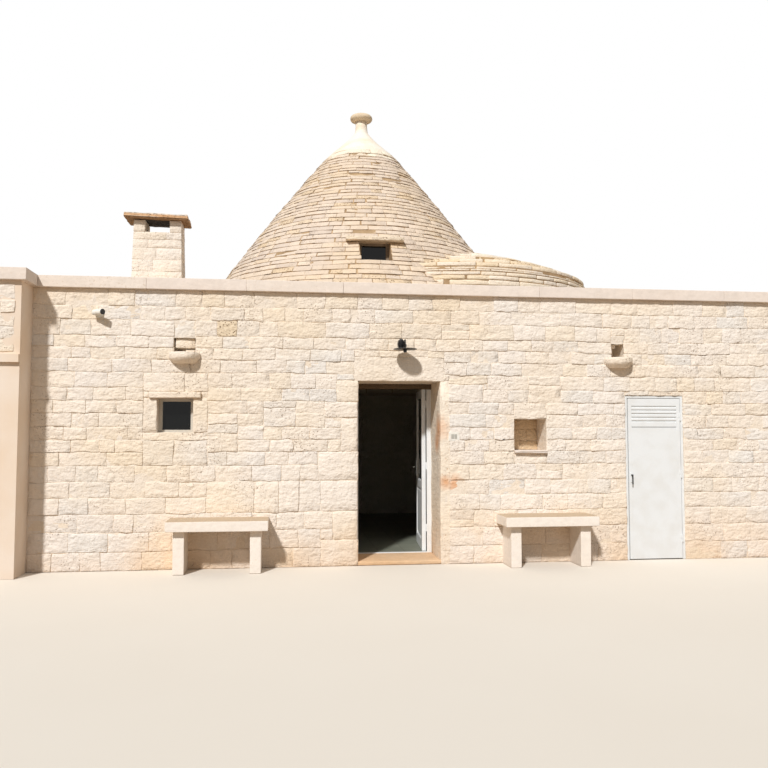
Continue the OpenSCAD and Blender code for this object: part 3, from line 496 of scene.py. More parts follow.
block = box_spot((lintel[0].x + 0.001, lintel[1].x - 0.001), (front_y - 0.004, lintel[1].y),
                 (lintel[0].z, lintel[1].z - 0.001), 0.5)
set_blocks("door_lintel_stone", [block], 17, dressed, "limestone_masonry", ["door_lintel"], cuts=15,
           soft=0.005, rough=0.006)


# Coping
# Sawn limestone slabs about a metre long and 130 mm thick, laid end to end on the parapet with hair
# joints. They overhang the wall and throw a thin shadow on it.

def slab_run(x, y, z, seed, length=1.1):
    """Blocks laid end to end along the longer side of a box."""
    along = 0 if x[1] - x[0] > y[1] - y[0] else 1
    first, last = (x, y)[along]
    count = max(1, round((last - first) / length))
    chance = random.Random(seed)
    cuts_at = [first, *[first + (last - first) * (i + chance.uniform(-0.08, 0.08)) / count
                        for i in range(1, count)], last]
    runs = [(a + 0.0005, b - 0.0005) for a, b in zip(cuts_at, cuts_at[1:])]
    return [box_spot(run, y, z) if along == 0 else box_spot(x, run, z) for run in runs]


def box_sides(name):
    low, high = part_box(name)
    return (low.x, high.x), (low.y, high.y), (low.z, high.z)


# Pinkish white limestone, sawn and rain-washed: even and chalky, with a faint grain
sawn = limestone("sawn_limestone", ["#e6d9cd", "#eadcd0", "#ecdfd2"], "#e8d8c8", "#dccbb9", roughness=0.8,
                 relief=0.14)
copings = ["coping_front", "coping_wing", "coping_back", "coping_sides"]
blocks = []
for i, name in enumerate(copings[:3]):
    blocks += slab_run(*box_sides(name), 30 + i)
x, y, z = box_sides("coping_sides")
left_width, right_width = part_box("left_wall")[0].x + 0.4, 0.46
for i, sides in enumerate(((x[0], left_width), (x[1] - right_width, x[1]))):
    blocks += slab_run(sides, y, z, 40 + i)
set_blocks("coping_slabs", blocks, 41, sawn, "pale_stone", copings, flat=True, cuts=4, soft=0.005,
           rough=0.0025)


# Main cone
# Thin limestone slabs 60 to 80 mm thick, laid dry in level rings that close in step by step up to
# the tip. Each slab's lower edge stands a little proud and leaves an open, shaded joint.

def mottled(name, roughness, tones, scale, detail, spread=(0, 1), grain=None, stretch=None, ior=1.5,
            finish=None):
    """A material that goes from one tone to the other over a spread of a noise's values.

    scale counts the noise's cells in a metre, or in a metre of each axis where stretch is given. grain
    is the scale, detail, strength and depth of a bump, and finish more values of the shader.
    """
    material, shader, tree, place = new_material(name, roughness, ior)
    if stretch:
        place = add(tree, "Mapping", {"Vector": place, "Scale": stretch})
    cloud = add(tree, "TexNoise", {"Vector": place, "Scale": scale, "Detail": detail})
    share = add(tree, "MapRange", {0: cloud, 1: spread[0], 2: spread[1]})
    colour = add(tree, "Mix", {0: share, 6: tones[0], 7: tones[1]}, data_type="RGBA")
    feed(tree, shader, {"Base Color": colour, **(finish or {})})
    if grain:
        height = add(tree, "TexNoise", {"Vector": place, "Scale": grain[0], "Detail": grain[1]})
        feed(tree, shader, {"Normal": add(tree, "Bump", {"Height": height, "Strength": grain[2],
                                                         "Distance": grain[3]})})
    return material


def cone_radius(z):
    share = max(0, (z - drum_top) / (cap_level - drum_top))
    return drum_r + (cap_r - drum_r) * share + 4 * belly * share * (1 - share)


def cone_place(along, up, out, spot):
    angle = along / cone_radius((spot[2] + spot[3]) / 2)
    lean = 0.007 * (spot[3] - up) / (spot[3] - spot[2])
    drift = 0.006 * noise.noise(Vector((math.sin(angle) * 3, math.cos(angle) * 3, up * 2)))
    radius = cone_radius(up) + out + lean
    return Vector((radius * math.sin(angle), -radius * math.cos(angle), up + drift))


drum_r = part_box("cone_right")[1].x
roof_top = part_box("cone_right")[0].z
drum_top = roof_top + 0.73
cap_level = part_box("cone_cap")[0].z
cap_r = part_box("cone_cap")[1].x - 0.014
belly = 0.055
# The small window, with half its clear width in the slabs, and half that of the lintel over it
window_low, window_high = cap_level - 2.63 + 0.585, cap_level - 2.63 + 0.895
lintel_high = window_high + 0.05
beside_window, beside_lintel = 0.21, 0.385
chance = random.Random(50)
spots = []
low = roof_top
while low < cap_level - 0.02:
    # The rings get thinner towards the tip
    high = low + (0.082 - 0.024 * (low - roof_top) / (cap_level - roof_top)) * chance.uniform(0.86, 1.14)
    if high > cap_level - 0.03:
        high = cap_level
    middle = (low + high) / 2
    radius = cone_radius(middle)
    clear = beside_lintel if window_high < middle < lintel_high else beside_window
    gap = radius * math.asin(clear / radius) if window_low < middle < lintel_high else 0
    start = gap if gap else chance.uniform(0, 0.3)
    last = 2 * math.pi * radius - gap if gap else start + 2 * math.pi * radius
    x = start
    while x < last - 1e-6:
        length = chance.uniform(0.15, 0.34)
        if last - x < length + 0.14:
            length = last - x
        proud = chance.uniform(0.003, 0.013)
        open_joint = chance.choice((0.0005, 0.0005, 0.0005, 0.007))
        spots.append((x + 0.0005, x + length - 0.0005, low + open_joint, high - 0.0005, -0.05, proud))
        x += length
    low = high
# Honey-coloured slabs, grey where rain runs, with whitewash that ran down over the upper rings
slabs = limestone("cone_slab_limestone", ["#d5c3b2", "#dfcdbb", "#e2cfbb", "#e6d3be", "#dec6a6"], "#dfc5a3",
                  "#8a6b48", whitewash=(5.93, 5.99))
bm = rough_stones(spots, cone_place, 51, cuts=3, soft=0.008, crown=0.004, rough=0.008)
set_piece("cone_slabs", bm, slabs)
# What shows in the open joints: the slabs' shaded beds
shaded = mottled("shaded_slab_beds", 0.95, ("#94795a", "#bfa27d"), 4, 3, (0.35, 0.65))
coat(shaded, "cone_front", "cone_right", "cone_back", "cone_left", "side_dome_front", "side_dome_back")


# Whitewashed tip
# The top of the cone is rendered with lime mortar and whitewashed up to the neck of the pinnacle. The
# coat runs 165 mm further down at the front, over the upper slabs, and ends in a ragged edge.

def turned(bm, profile, steps=48, centre=(0, 0, 0)):
    """Spins a profile of (radius, height) points round the upright line through the centre."""
    points = [bm.verts.new((centre[0] + r, centre[1], centre[2] + h)) for r, h in profile]
    edges = [bm.edges.new(pair) for pair in zip(points, points[1:])]
    bmesh.ops.spin(bm, geom=points + edges, angle=2 * math.pi, steps=steps, use_merge=True,
                   axis=(0, 0, 1), cent=centre)
    bmesh.ops.remove_doubles(bm, verts=bm.verts, dist=1e-5)


# Limewash: chalky, brushed on in thick coats, with soft lumps of the mortar below
limewash = mottled("limewash", 0.85, ("#f4ebdc", "#eeddc4"), 5, 4, (0.4, 0.7), grain=(26, 4, 0.35, 0.012))

neck_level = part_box("pinnacle")[0].z
disc_level = neck_level + 0.186
shoulder_r, neck_r = 0.105, 0.09
rise = neck_level - cap_level
outer = [(cap_r + 0.01, cap_level)]
outer += [(shoulder_r + (cap_r + 0.014 - shoulder_r) * (1 - t) ** 1.15, cap_level + rise * t)
          for t in [0.03, *[i / 9 for i in range(1, 10)]]]
neck = [(0.096, neck_level + 0.05), (neck_r, neck_level + 0.11), (neck_r, disc_level + 0.012)]
bm = bmesh.new()
turned(bm, [(0, cap_level + 0.02), (cap_r - 0.06, cap_level + 0.02), (cap_r - 0.012, cap_level), *outer,
            *neck, (0, disc_level + 0.012)], steps=72)
for v in bm.verts:
    if v.co.z < cap_level + 0.018 and math.hypot(v.co.x, v.co.y) > 0.3:
        # The ragged lower edge
        angle = math.atan2(v.co.x, -v.co.y)
        ragged = noise.noise(Vector((math.sin(angle) * 4, math.cos(angle) * 4, 3)))
        drop = 0.09 + 0.075 * max(0, math.cos(angle)) ** 1.5 + 0.02 * ragged
        inner = math.hypot(v.co.x, v.co.y) < cap_r
        radius = cone_radius(v.co.z - drop) + (-0.01 if inner else 0.018)
        v.co = Vector((radius * math.sin(angle), -radius * math.cos(angle), v.co.z - drop))
    elif v.co.z > cap_level + 0.03 and v.co.xy.length > 0.01:
        v.co.xy *= 1 + 0.012 * noise.noise(v.co * 6)
set_piece("whitewashed_tip", bm, limewash, stands_for=["cone_cap"])


# Pinnacle
# A round, bun-shaped stone on the whitewashed neck, turned by hand and left bare. It is bedded in
# mortar and has weathered to a tan colour.

bm = bmesh.new()
turned(bm, [(0, 0.0), (0.088, 0.0), (0.118, 0.004), (0.155, 0.018), (0.17, 0.036), (0.175, 0.055),
            (0.17, 0.078), (0.15, 0.098), (0.11, 0.113), (0.06, 0.122), (0, 0.125)], 48, (0, 0, disc_level))
for v in bm.verts:
    v.co += 0.004 * noise.noise_vector(v.co * 7) * min(1, v.co.xy.length / 0.1)
weathered = limestone("weathered_limestone", ["#dfcbae", "#e6d3b8", "#ebd9bf"], "#d9bf9a", "#a98a66",
                      relief=0.3)
set_piece("pinnacle_stone", bm, weathered, stands_for=["pinnacle"])


# Side dome
# A low dome of limestone slabs in level steps 90 mm high. The treads are broad, smooth slabs, and thin
# slabs show under them.

def dome_place(along, up, out, spot):
    """The place of a point of a ring slab, whose back and front are given as radii."""
    angle = along / spot[5]
    drift = 0.006 * noise.noise(Vector((math.sin(angle) * 2, math.cos(angle) * 2, up * 5)))
    return Vector((dome_x + out * math.sin(angle), -out * math.cos(angle), up + drift))


dome_r = 2.19
dome_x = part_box("side_dome_front")[1].x - dome_r
dome_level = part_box("side_dome_front")[1].z - 0.66
# The radius, the foot and the top of each step, above the level of the drum's top
steps = [(dome_r, 0, 0.03), (2.145, 0.03, 0.12), (1.951, 0.12, 0.21), (1.717, 0.21, 0.3), (1.454, 0.3, 0.39),
         (1.163, 0.39, 0.48), (0.842, 0.48, 0.57), (0.479, 0.57, 0.66)]
chance = random.Random(60)
spots = []
# The upright side under the lowest step
low = roof_top
while low < dome_level - 0.03:
    high = min(dome_level, low + chance.uniform(0.055, 0.08))
    steps.append((dome_r, low - dome_level, high - dome_level))
    low = high
for radius, low, high in steps:
    tread = low >= 0.03
    inner = max([r for r, bottom, _ in steps if abs(bottom - high) < 1e-6 and bottom >= 0.03], default=0.03)
    layers = [(low, low + 0.04, 0.002), (low + 0.04, high + 0.008, 0.008)] if tread else [(low, high, 0.01)]
    if low > 0.38:
        layers = [(low, high + 0.008, 0.012)]
    for bottom, top, proud in layers:
        front = radius + proud
        around = 2 * math.pi * front
        start = x = chance.uniform(0, 0.3)
        while x < start + around - 1e-6:
            length = min(chance.uniform(0.25, 0.6) * (1.3 if low > 0.2 else 1), around / 6)
            if start + around - x < length + 0.2:
                length = start + around - x
            # Slabs that would lie inside the main cone are left out
            middle = (x + length / 2) / front
            centre = Vector((dome_x + front * math.sin(middle), -front * math.cos(middle)))
            if centre.length > cone_radius(dome_level + low) - 0.15:
                back = max(0.03, inner - 0.06) if tread else front - 0.1
                spots.append((x + 0.003, x + length - 0.003, dome_level + bottom + 0.002,
                              dome_level + top - 0.002, back, front + chance.uniform(-0.006, 0.006)))
            x += length
domed = limestone("dome_slab_limestone", ["#ecdfcf", "#f1e5d6", "#f3e6d4", "#f1e0c6", "#ead5b6"], "#ecd6b2",
                  "#a98a66", relief=0.4)
set_blocks("dome_slabs", spots, 61, domed, "limestone_slabs", place=dome_place, cuts=4, soft=0.014,
           rough=0.005)


# Flat roof
# Paved behind the parapet with thin limestone flags of about 450 by 300 mm, bedded in lime and laid
# to drain towards the two holes in the front wall.

# Worn limestone paving: matt, greyish cream, with sandy joints
paving, shader, tree, place = new_material("limestone_flags", 0.9)
flags = add(tree, "TexBrick", {"Vector": place, "Color1": "#ddd0bd", "Color2": "#e6d9c5", "Mortar": "#c4ae90",
                               "Scale": 1.0, "Mortar Size": 0.006, "Brick Width": 0.45, "Row Height": 0.3})
worn = add(tree, "TexNoise", {"Vector": place, "Scale": 3, "Detail": 5})
shade = add(tree, "MapRange", {0: worn, 1: 0.3, 2: 0.7, 3: 0.88, 4: 1.04})
colour = add(tree, "Mix", {0: 1.0, 6: flags, 7: shade}, data_type="RGBA", blend_type="MULTIPLY")
low = add(tree, "Math", {0: flags.outputs["Fac"], 1: -1.0, 2: worn}, operation="MULTIPLY_ADD")
bump = add(tree, "Bump", {"Height": low, "Strength": 0.5, "Distance": 0.008})
feed(tree, shader, {"Base Color": colour, "Normal": bump})
coat(paving, "roof_ends", "roof_strips")


# Chimney
# A tapered stack of squared limestone, open at the front and the back under a rough reddish slab that
# keeps the rain out. The slab lies a little askew and overhangs all round.

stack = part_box("chimney_stack")
stack_x = (stack[0].x + stack[1].x) / 2
stack_half = (stack[1].x - stack[0].x) / 2
opening_low, opening_half = stack[1].z - 0.14, 0.159


def stack_place(along, up, out, spot):
    taper = 1 - 0.04 / stack_half * (up - stack[0].z) / (stack[1].z - stack[0].z)
    return Vector((stack_x + along * taper, -out, up))


chance = random.Random(70)
spots = []
lines = [stack[0].z, 2.56, 2.7, 2.85, 3.0, 3.14, 3.29, 3.42, 3.56, 3.7, 3.8, opening_low]
proud, joint = 0.008, 0.0005
depths = ((-stack[0].y - 0.09, -stack[0].y + proud), (-stack[1].y - proud, -stack[1].y + 0.09))
for low, high in zip(lines, lines[1:]):
    for depth in depths:
        cut = chance.uniform(0.3, 0.7) * 2 * stack_half - stack_half
        for a, b in ((-stack_half - proud, cut), (cut, stack_half + proud)):
            spots.append((a, b, low + joint, high - joint, *depth))
    for side in (-1, 1):
        a, b = sorted((side * (stack_half + proud), side * (stack_half - 0.12)))
        spots.append((a, b, low + joint, high - joint, depths[1][1] + 0.001, depths[0][0] - 0.001))
for side in (-1, 1):
    a, b = sorted((side * (stack_half + proud), side * (opening_half + 0.003)))
    spots.append((a, b, opening_low + 0.002, stack[1].z, -stack[1].y - proud, -stack[0].y + proud))
set_blocks("chimney_stones", spots, 71, dressed, "limestone_masonry", place=stack_place, cuts=4, soft=0.005,
           rough=0.004, tones=(0.2, 0.8))
coat(mortar, "chimney_stack")


def askew(along, up, out, spot):
    """The slab lies 20 mm to the left, with its left end 20 mm up."""
    tilt = 0.02 * max(-1, (slab[1].x - along) / (slab[1].x - slab[0].x))
    return Vector((along, -out, up + tilt))


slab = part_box("chimney_cap")
block = box_spot((slab[0].x - 0.015, slab[1].x - 0.01), (slab[0].y, slab[1].y),
                 (slab[0].z - 0.004, slab[1].z))
# Reddish limestone, split and rough: tan, with orange patches. Its top is painted lighter as a highlight, and
# its underside painted dark as shade.
rusty = limestone("red_limestone", ["#d6ac80", "#dcb68f", "#e2c09c"], "#cf8f55", "#8a5228", relief=0.9,
                  top="#ecdccb", underside_shade="#9a7652")
set_blocks("chimney_slab", [block], 72, rusty, "red_stone", ["chimney_cap"], place=askew, cuts=9, soft=0.012,
           rough=0.008)
# Under it, painted shade: the mortar between the two piers, just below the slab, is coloured near black
block = box_spot((stack_x - opening_half + 0.002, stack_x + opening_half - 0.002),
                 (stack[0].y + 0.004, stack[1].y - 0.004), (slab[0].z - 0.012, slab[0].z + 0.004))
slab_shade_paint = limestone("painted_shade_mortar", ["#2c231b", "#33291f", "#3a2f24"], "#2f251c", "#1f1812", relief=0.4)
set_blocks("chimney_slab_shade", [block], 73, slab_shade_paint, "red_stone", place=askew, cuts=6, soft=0.004, rough=0.003)


# Wing at the left
# The front of the next wing starts here. Its upper panel of squared stones is framed by smooth lime
# plaster, with a plaster ledge under it and a plastered wall below.

# Lime plaster, floated smooth: pinkish cream with soft trowel clouds
plaster = mottled("lime_plaster", 0.9, ("#ecdccb", "#e6cfb6"), 1.6, 4, (0.35, 0.7), grain=(30, 4, 0.2, 0.006))
coat(plaster, "wing_front_wall", "left_wall")
wing_y = -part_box("wing_front_wall")[0].y - 0.045
spots = bedded(courses(left_x + 0.003, wing_x - 0.06, [2.37, 2.5, 2.64, 2.79, 2.93, 3.09], [], 7), 23)
set_wall_stones("wing_stones", spots, wall_place(0, wing_y, wall_top), 81, cuts=8, tones=(0.1, 0.8))


# Lintels, niche sill and threshold
# Flat slabs built into the wall: one over each window, one under the niche, and a worn step in the
# doorway.

lintel_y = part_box("window_lintels")[0].y
blocks = [box_spot(over_x, sorted((side * lintel_y, side * (lintel_y + 0.18))), over_z, 0.6)
          for side in (1, -1)]
blocks.append(box_spot((-0.385, 0.385), (-1.97, -1.55), (4.045, 4.095), 0.9))
set_blocks("window_lintel_stones", blocks, 91, dressed, "limestone_masonry", ["window_lintels"], cuts=6,
           soft=0.01, rough=0.005)
sill = box_spot(*box_sides("niche_sill"), 0.6)
set_blocks("niche_sill_stone", [sill], 92, sawn, "limestone_masonry", ["niche_sill"], cuts=6, soft=0.012,
           rough=0.004)
# Rough, browner stones at the back of the niche, two to a course
left, right, levels = 1.53, 1.917, (1.31, 1.42, 1.56, 1.679)
blocks = []
for split, z in zip((1.69, 1.78, 1.64), zip(levels, levels[1:])):
    blocks += [box_spot(x, (-2.714, -2.69), z, 0.85) for x in ((left, split), (split, right))]
browner_stone = limestone("browner_limestone", ["#dfc9ab", "#e3cdb0", "#dcc09a"], "#d3b287", "#8a6b48", relief=0.8)
set_blocks("niche_back_stones", blocks, 96, browner_stone, "limestone_masonry", cuts=5, soft=0.008, rough=0.008)
step = box_spot(*box_sides("threshold"), 0.6)
# Limestone trodden smooth and stained tan by the earth
trodden = limestone("trodden_limestone", ["#dcb78f", "#e0bd97", "#e4c4a0"], "#d8ac7c", "#a9805a", relief=0.4)
set_blocks("threshold_stone", [step], 93, trodden, "limestone_masonry", ["threshold"], cuts=6, soft=0.01,
           rough=0.003)
# Painted shade: a dark brown strip laps over the head of the door frame, up to the lintel's underside, and
# stands for the deep shade under the lintel
head_shade_band = box_spot(doorway, (jamb_back - 0.022, jamb_back - 0.0005),
                (lintel[0].z - 0.064, lintel[0].z + 0.001), 0.5)
head_shade_paint = limestone("door_head_shade_paint", ["#5c4c3d", "#64533f", "#6b5a48"], "#54453a", "#3d3026", relief=0.4)
set_blocks("door_head_shade_band", [head_shade_band], 94, head_shade_paint, "limestone_masonry", cuts=8, soft=0.004, rough=0.004)


# Rain spouts
# Half-round dishes of carved limestone under the two holes. Their tails run into the wall, and their
# undersides are rounded off towards it. A stone set back in the left hole leaves a slot for the water.

bm = bmesh.new()
tone = bm.verts.layers.float.new("tone")
spout_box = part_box("spouts")
dish = [(0, 0), (0.105, 0), (0.14, 0.02), (0.166, 0.048), (0.173, 0.062), (0.175, 0.112), (0.168, 0.123),
        (0.14, 0.125), (0.13, 0.118), (0.09, 0.085), (0, 0.08)]
for middle, _ in spouts_at:
    part = bmesh.new()
    turned(part, dish, 48, (middle, front_y, spout_box[0].z))
    cut = bmesh.ops.bisect_plane(part, geom=part.verts[:] + part.edges[:] + part.faces[:],
                                 plane_co=(0, front_y + 0.03, 0), plane_no=(0, 1, 0), clear_outer=True)
    rim = [e for e in cut["geom_cut"] if isinstance(e, bmesh.types.BMEdge)]
    bmesh.ops.holes_fill(part, edges=rim, sides=0)
    for v in part.verts:
        v.co += 0.003 * noise.noise_vector(v.co * 9)
    mesh = bpy.data.meshes.new("spout_part")
    part.to_mesh(mesh)
    part.free()
    bm.from_mesh(mesh)
    bpy.data.meshes.remove(mesh)
for v in bm.verts:
    v[tone] = 0.6
set_piece("spout_dishes", bm, dressed, stands_for=["spouts"])
blocks = [box_spot((-2.402, -2.182), (front_y + 0.03, front_y + 0.25), (2.476, 2.584), 0.75),
          box_spot((2.75, 2.82), (front_y + 0.045, front_y + 0.2), (2.54, 2.586), 0.7)]
blocks += [box_spot((x - w / 2, x + w / 2), (front_y + 0.03, spout_box[1].y),
                    (spout_box[0].z, spout_box[1].z - 0.04), 0.4) for x, w in spouts_at]
set_blocks("spout_hole_stones", blocks, 95, dressed, "limestone_masonry", cuts=4, soft=0.01, rough=0.004)


# Stone benches
# Two benches against the wall, each a sawn limestone slab 110 mm thick on two upright slabs.

bench_middles, seat_half, leg_half, leg_top = (-1.88, 1.84), 0.5425, 0.06, 0.462
# The same sawn limestone, whitish at the sides and a darker tan on faces that look up
seat = limestone("tan_topped_seat_limestone", ["#f3e8dc", "#f5ebdf", "#f6ece0"], "#f3e6d5", "#e6d6c2",
                 roughness=0.8, relief=0.14, top="#bfa98e")
blocks = [box_spot((x - seat_half, x + seat_half), (-3.505, front_y), (leg_top, leg_top + 0.11))
          for x in bench_middles]
set_blocks("bench_seat_slabs", blocks, 101, seat, "pale_stone", ["bench_slabs"], flat=True, cuts=6,
           soft=0.006, rough=0.0025)
blocks = [box_spot((x - leg_half, x + leg_half), (-3.425, front_y), (0, leg_top)) for m in bench_middles
          for x in (m - 0.4075, m + 0.4075)]
set_blocks("bench_leg_slabs", blocks, 102, seat, "pale_stone", ["bench_legs"], flat=True, cuts=5, soft=0.006,
           rough=0.0025)


# Floors
# Matt stoneware tiles of 330 mm in the hall, grey-green, with narrow grey joints.

tiles, shader, tree, place = new_material("stoneware_tiles", 0.45)
square = add(tree, "TexBrick", {"Vector": place, "Color1": "#7d8072", "Color2": "#888a7b",
                                "Mortar": "#6a685e", "Scale": 1.0, "Mortar Size": 0.004,
                                "Brick Width": 0.33, "Row Height": 0.33}, offset=0.0)
cloud = add(tree, "TexNoise", {"Vector": place, "Scale": 14, "Detail": 4})
shade = add(tree, "MapRange", {0: cloud, 1: 0.3, 2: 0.7, 3: 0.92, 4: 1.06})
colour = add(tree, "Mix", {0: 1.0, 6: square, 7: shade}, data_type="RGBA", blend_type="MULTIPLY")
bump = add(tree, "Bump", {"Height": square.outputs["Fac"], "Strength": 0.4, "Distance": -0.002})
feed(tree, shader, {"Base Color": colour, "Normal": bump})
coat(tiles, "floor")


# Front door
# A glazed leaf of white powder-coated aluminium in a 50 by 60 mm frame, with a solid panel below the
# middle rail. It hangs on three hinges at the right and opens inwards. It is made closed and then turned.

def ease(bm, edges, width):
    """Rounds edges off by a width in metres, each once, in their order."""
    bmesh.ops.bevel(bm, geom=list(dict.fromkeys(edges)), offset=width, segments=2, profile=0.5, affect="EDGES",
                    material=-1)


def block(bm, x, y, z, edge=0.003):
    """Adds a box with eased edges."""
    made = bmesh.ops.create_cube(bm, size=1)["verts"]
    for v in made:
        v.co = [low + (c + 0.5) * (high - low) for c, (low, high) in zip(v.co, (x, y, z))]
    ease(bm, [e for v in made for e in v.link_edges], edge)


def rod(bm, start, end, radius, segments=20, edge=0.0):
    """Adds a round bar from one point to another, with eased ends."""
    start, end = Vector(start), Vector(end)
    turn = (end - start).to_track_quat("Z", "Y").to_matrix().to_4x4()
    made = bmesh.ops.create_cone(bm, cap_ends=True, segments=segments, radius1=radius, radius2=radius,
                                 depth=(end - start).length,
                                 matrix=Matrix.Translation((start + end) / 2) @ turn)["verts"]
    if edge:
        ease(bm, [e for v in made for e in v.link_edges if any(len(f.verts) > 4 for f in e.link_faces)], edge)


def hinge_halves(bm, x, y, plate_y, levels, side):
    """Adds a knuckle and a plate for each hinge: the frame's below, at side 1, or the leaf's above, at -1."""
    for level in levels:
        low, high = (level, level + 0.045) if side > 0 else (level + 0.0455, level + 0.09)
        rod(bm, (x, y, low), (x, y, high), 0.0075, 16, 0.0015)
        block(bm, sorted((x, x + side * 0.03)), plate_y, (low, high), 0.0008)


def finish_metalwork(name, bm, material, body="root", stands_for=(), turn=None):
    """A piece with crisp flat faces between eased edges, turned about an upright line if one is given."""
    if turn:
        degrees, x, y = turn
        bmesh.ops.rotate(bm, verts=bm.verts, cent=(x, y, 0),
                         matrix=Matrix.Rotation(math.radians(degrees), 3, "Z"))
    piece = set_piece(name, bm, material, body, stands_for)
    piece.modifiers.new("flat_faces", "WEIGHTED_NORMAL")


# White powder coat: smooth, faintly grained like orange peel, satin
powder_coat = mottled("white_powder_coat", 0.38, ("#e7e9e9", "#e0e0dd"), 6, 4, (0.4, 0.75),
                      grain=(260, 2, 0.06, 0.001))
# Clear float glass: sharp reflections and a faint green tint. Its near-black colour is painted shade of the
# dim rooms behind it.
shade_dark_glass = mottled("glass_painted_dark", 0.03, ("#0d0e0d", "#151615"), 5, 3, ior=1.52,
                finish={"Transmission Weight": 0.4, "Specular IOR Level": 0.08})
# Satin stainless steel, brushed along its length
satin_steel = mottled("satin_stainless_steel", 0.32, ("#a9a7a2", "#c2c0bb"), 1.0, 2, stretch=(60, 60, 900),
                      finish={"Metallic": 1.0})

left, right, low, high = -0.275, 0.59, 0.055, 2.065
front, back = -2.445, -2.395
middle = (front + back) / 2
hinge_line, swing_degrees = (0.5925, -2.387), -95
swing = (swing_degrees, *hinge_line)
hinge_plate_y, hinge_levels = (-2.3952, -2.392), (0.296, 1.06, 1.824)
stile = 0.095
rails = ((low, low + 0.13), (0.8125, 0.9075), (high - stile, high))
bm = bmesh.new()
block(bm, (left, left + stile), (front, back), (low, high))
block(bm, (right - stile, right), (front, back), (low, high))
for z in rails:
    block(bm, (left + 0.093, right - 0.093), (front + 0.0005, back - 0.0005), z)
# The solid panel, with a raised field on both sides, and the glazing beads
block(bm, (left + 0.09, right - 0.09), (middle - 0.012, middle + 0.012), (low + 0.12, 0.82))
block(bm, (left + 0.135, right - 0.135), (middle - 0.018, middle + 0.018), (low + 0.17, 0.775), 0.005)
bead_x, bead = (left + 0.094, right - 0.094), 0.012
for bottom, top in ((rails[0][1], rails[1][0]), (rails[1][1], rails[2][0])):
    for y in (front + 0.006, back - 0.016):
        for x in (bead_x[0], bead_x[1] - bead):
            block(bm, (x, x + bead), (y, y + 0.01), (bottom, top), 0.002)
        for z in (bottom, top - bead):
            block(bm, bead_x, (y, y + 0.01), (z, z + bead), 0.002)
# Each hinge has its upper half on the leaf and its lower one on the frame
hinge_halves(bm, *hinge_line, hinge_plate_y, hinge_levels, -1)
finish_metalwork("door_leaf_frame", bm, powder_coat, "front_door", ["door_leaf"], swing)
bm = bmesh.new()
block(bm, (left + 0.09, right - 0.09), (middle - 0.01, middle + 0.01), (0.9, high - 0.09), 0.001)
finish_metalwork("door_pane", bm, shade_dark_glass, "front_door", ["door_glass"], swing)
# A plate, a lever and the button of a lock on each side
lever_x, lever_z, lock_z, lever_r = left + stile / 2, 1.06, 0.99, 0.009
bm = bmesh.new()
for side, face in ((-1, front), (1, back)):
    y = face + side * 0.004
    block(bm, (lever_x - 0.017, lever_x + 0.017), (y - 0.004, y + 0.004), (0.955, 1.165), 0.002)
    y = face + side * 0.045
    rod(bm, (lever_x, face, lever_z), (lever_x, y, lever_z), lever_r)
    rod(bm, (lever_x - 0.004, y, lever_z), (lever_x + 0.115, y, lever_z), lever_r, edge=0.003)
    rod(bm, (lever_x, face, lock_z), (lever_x, face + side * 0.012, lock_z), 0.008, edge=0.001)
finish_metalwork("door_lever", bm, satin_steel, "front_door", ["door_handle"], swing)

x, y, z = box_sides("door_frame")
wide, lap, frame_back = 0.05, 0.049, -2.395
bm = bmesh.new()
for a, b in ((x[0], x[0] + wide), (x[1] - wide, x[1])):
    block(bm, (a, b), (y[0], frame_back), z)
block(bm, x, (y[0] + 0.0005, frame_back - 0.0005), (z[1] - wide, z[1]))
# The rebate in front of the leaf's edges closes the gap
for a, b in ((x[0] + lap, x[0] + 0.067), (x[1] - 0.062, x[1] - lap)):
    block(bm, (a, b), (y[0] + 0.0005, y[0] + 0.006), (z[0], z[1] - lap), 0.001)
block(bm, (x[0] + lap, x[1] - lap), (y[0] + 0.0007, y[0] + 0.006), (z[1] - 0.062, z[1] - lap), 0.001)
hinge_halves(bm, *hinge_line, hinge_plate_y, hinge_levels, 1)
# The flat sill of the frame
block(bm, (x[0] + lap, x[1] - lap), (y[0] + 0.001, frame_back - 0.001), (z[0], z[0] + 0.008), 0.002)
finish_metalwork("door_surround", bm, powder_coat, stands_for=["door_frame"])


# Closet door
# A white steel leaf with five louvre slots at the top and a folded groove below them, hung on the
# right in a narrow frame that is set 10 mm back in the wall.

x, y, z = box_sides("closet_frame")
edge, (front, back) = 0.032, (-3.045, -2.995)
left, right, low, high = x[0] + edge + 0.01, x[1] - edge - 0.005, 0.01, z[1] - edge - 0.005
hinge_x, hinge_y, hinge_plate_y = right + 0.0025, -3.053, (-3.048, -3.0448)
hinge_levels = [low + share * (high - low) for share in (0.1, 0.5, 0.86)]
bm = bmesh.new()
for a, b in ((x[0], x[0] + edge), (x[1] - edge, x[1])):
    block(bm, (a, b), (front, back), z)
    # The rebate behind the leaf's edge closes the gap
    a, b = (a + 0.002, b + 0.024) if a == x[0] else (a - 0.024, b - 0.002)
    block(bm, (a, b), (back - 0.008, back - 0.001), (z[0], z[1] - 0.002), 0.001)
block(bm, x, (front + 0.0005, back - 0.0005), (z[1] - edge, z[1]))
hinge_halves(bm, hinge_x, hinge_y, hinge_plate_y, hinge_levels, 1)
finish_metalwork("closet_surround", bm, powder_coat, stands_for=["closet_frame"])

back = -3.005
stile, slot_high, slot_apart, top_rail = 0.045, 0.018, 0.044, 0.09
groove = (1.582, 1.588)
slots = [(high - top_rail - i * slot_apart - slot_high, high - top_rail - i * slot_apart) for i in range(5)]
bm = bmesh.new()
for a in (left, right - stile):
    block(bm, (a, a + stile), (front, back), (low, high), 0.002)
bars = [(slots[0][1], high), *[(lower[1], upper[0]) for upper, lower in zip(slots, slots[1:])],
        (groove[1], slots[-1][0])]
for bar in bars:
    block(bm, (left + 0.044, right - 0.044), (front + 0.0002, back - 0.0002), bar, 0.002)
block(bm, (left + 0.0445, right - 0.0445), (front + 0.0002, back - 0.0002), (low, groove[0]), 0.002)
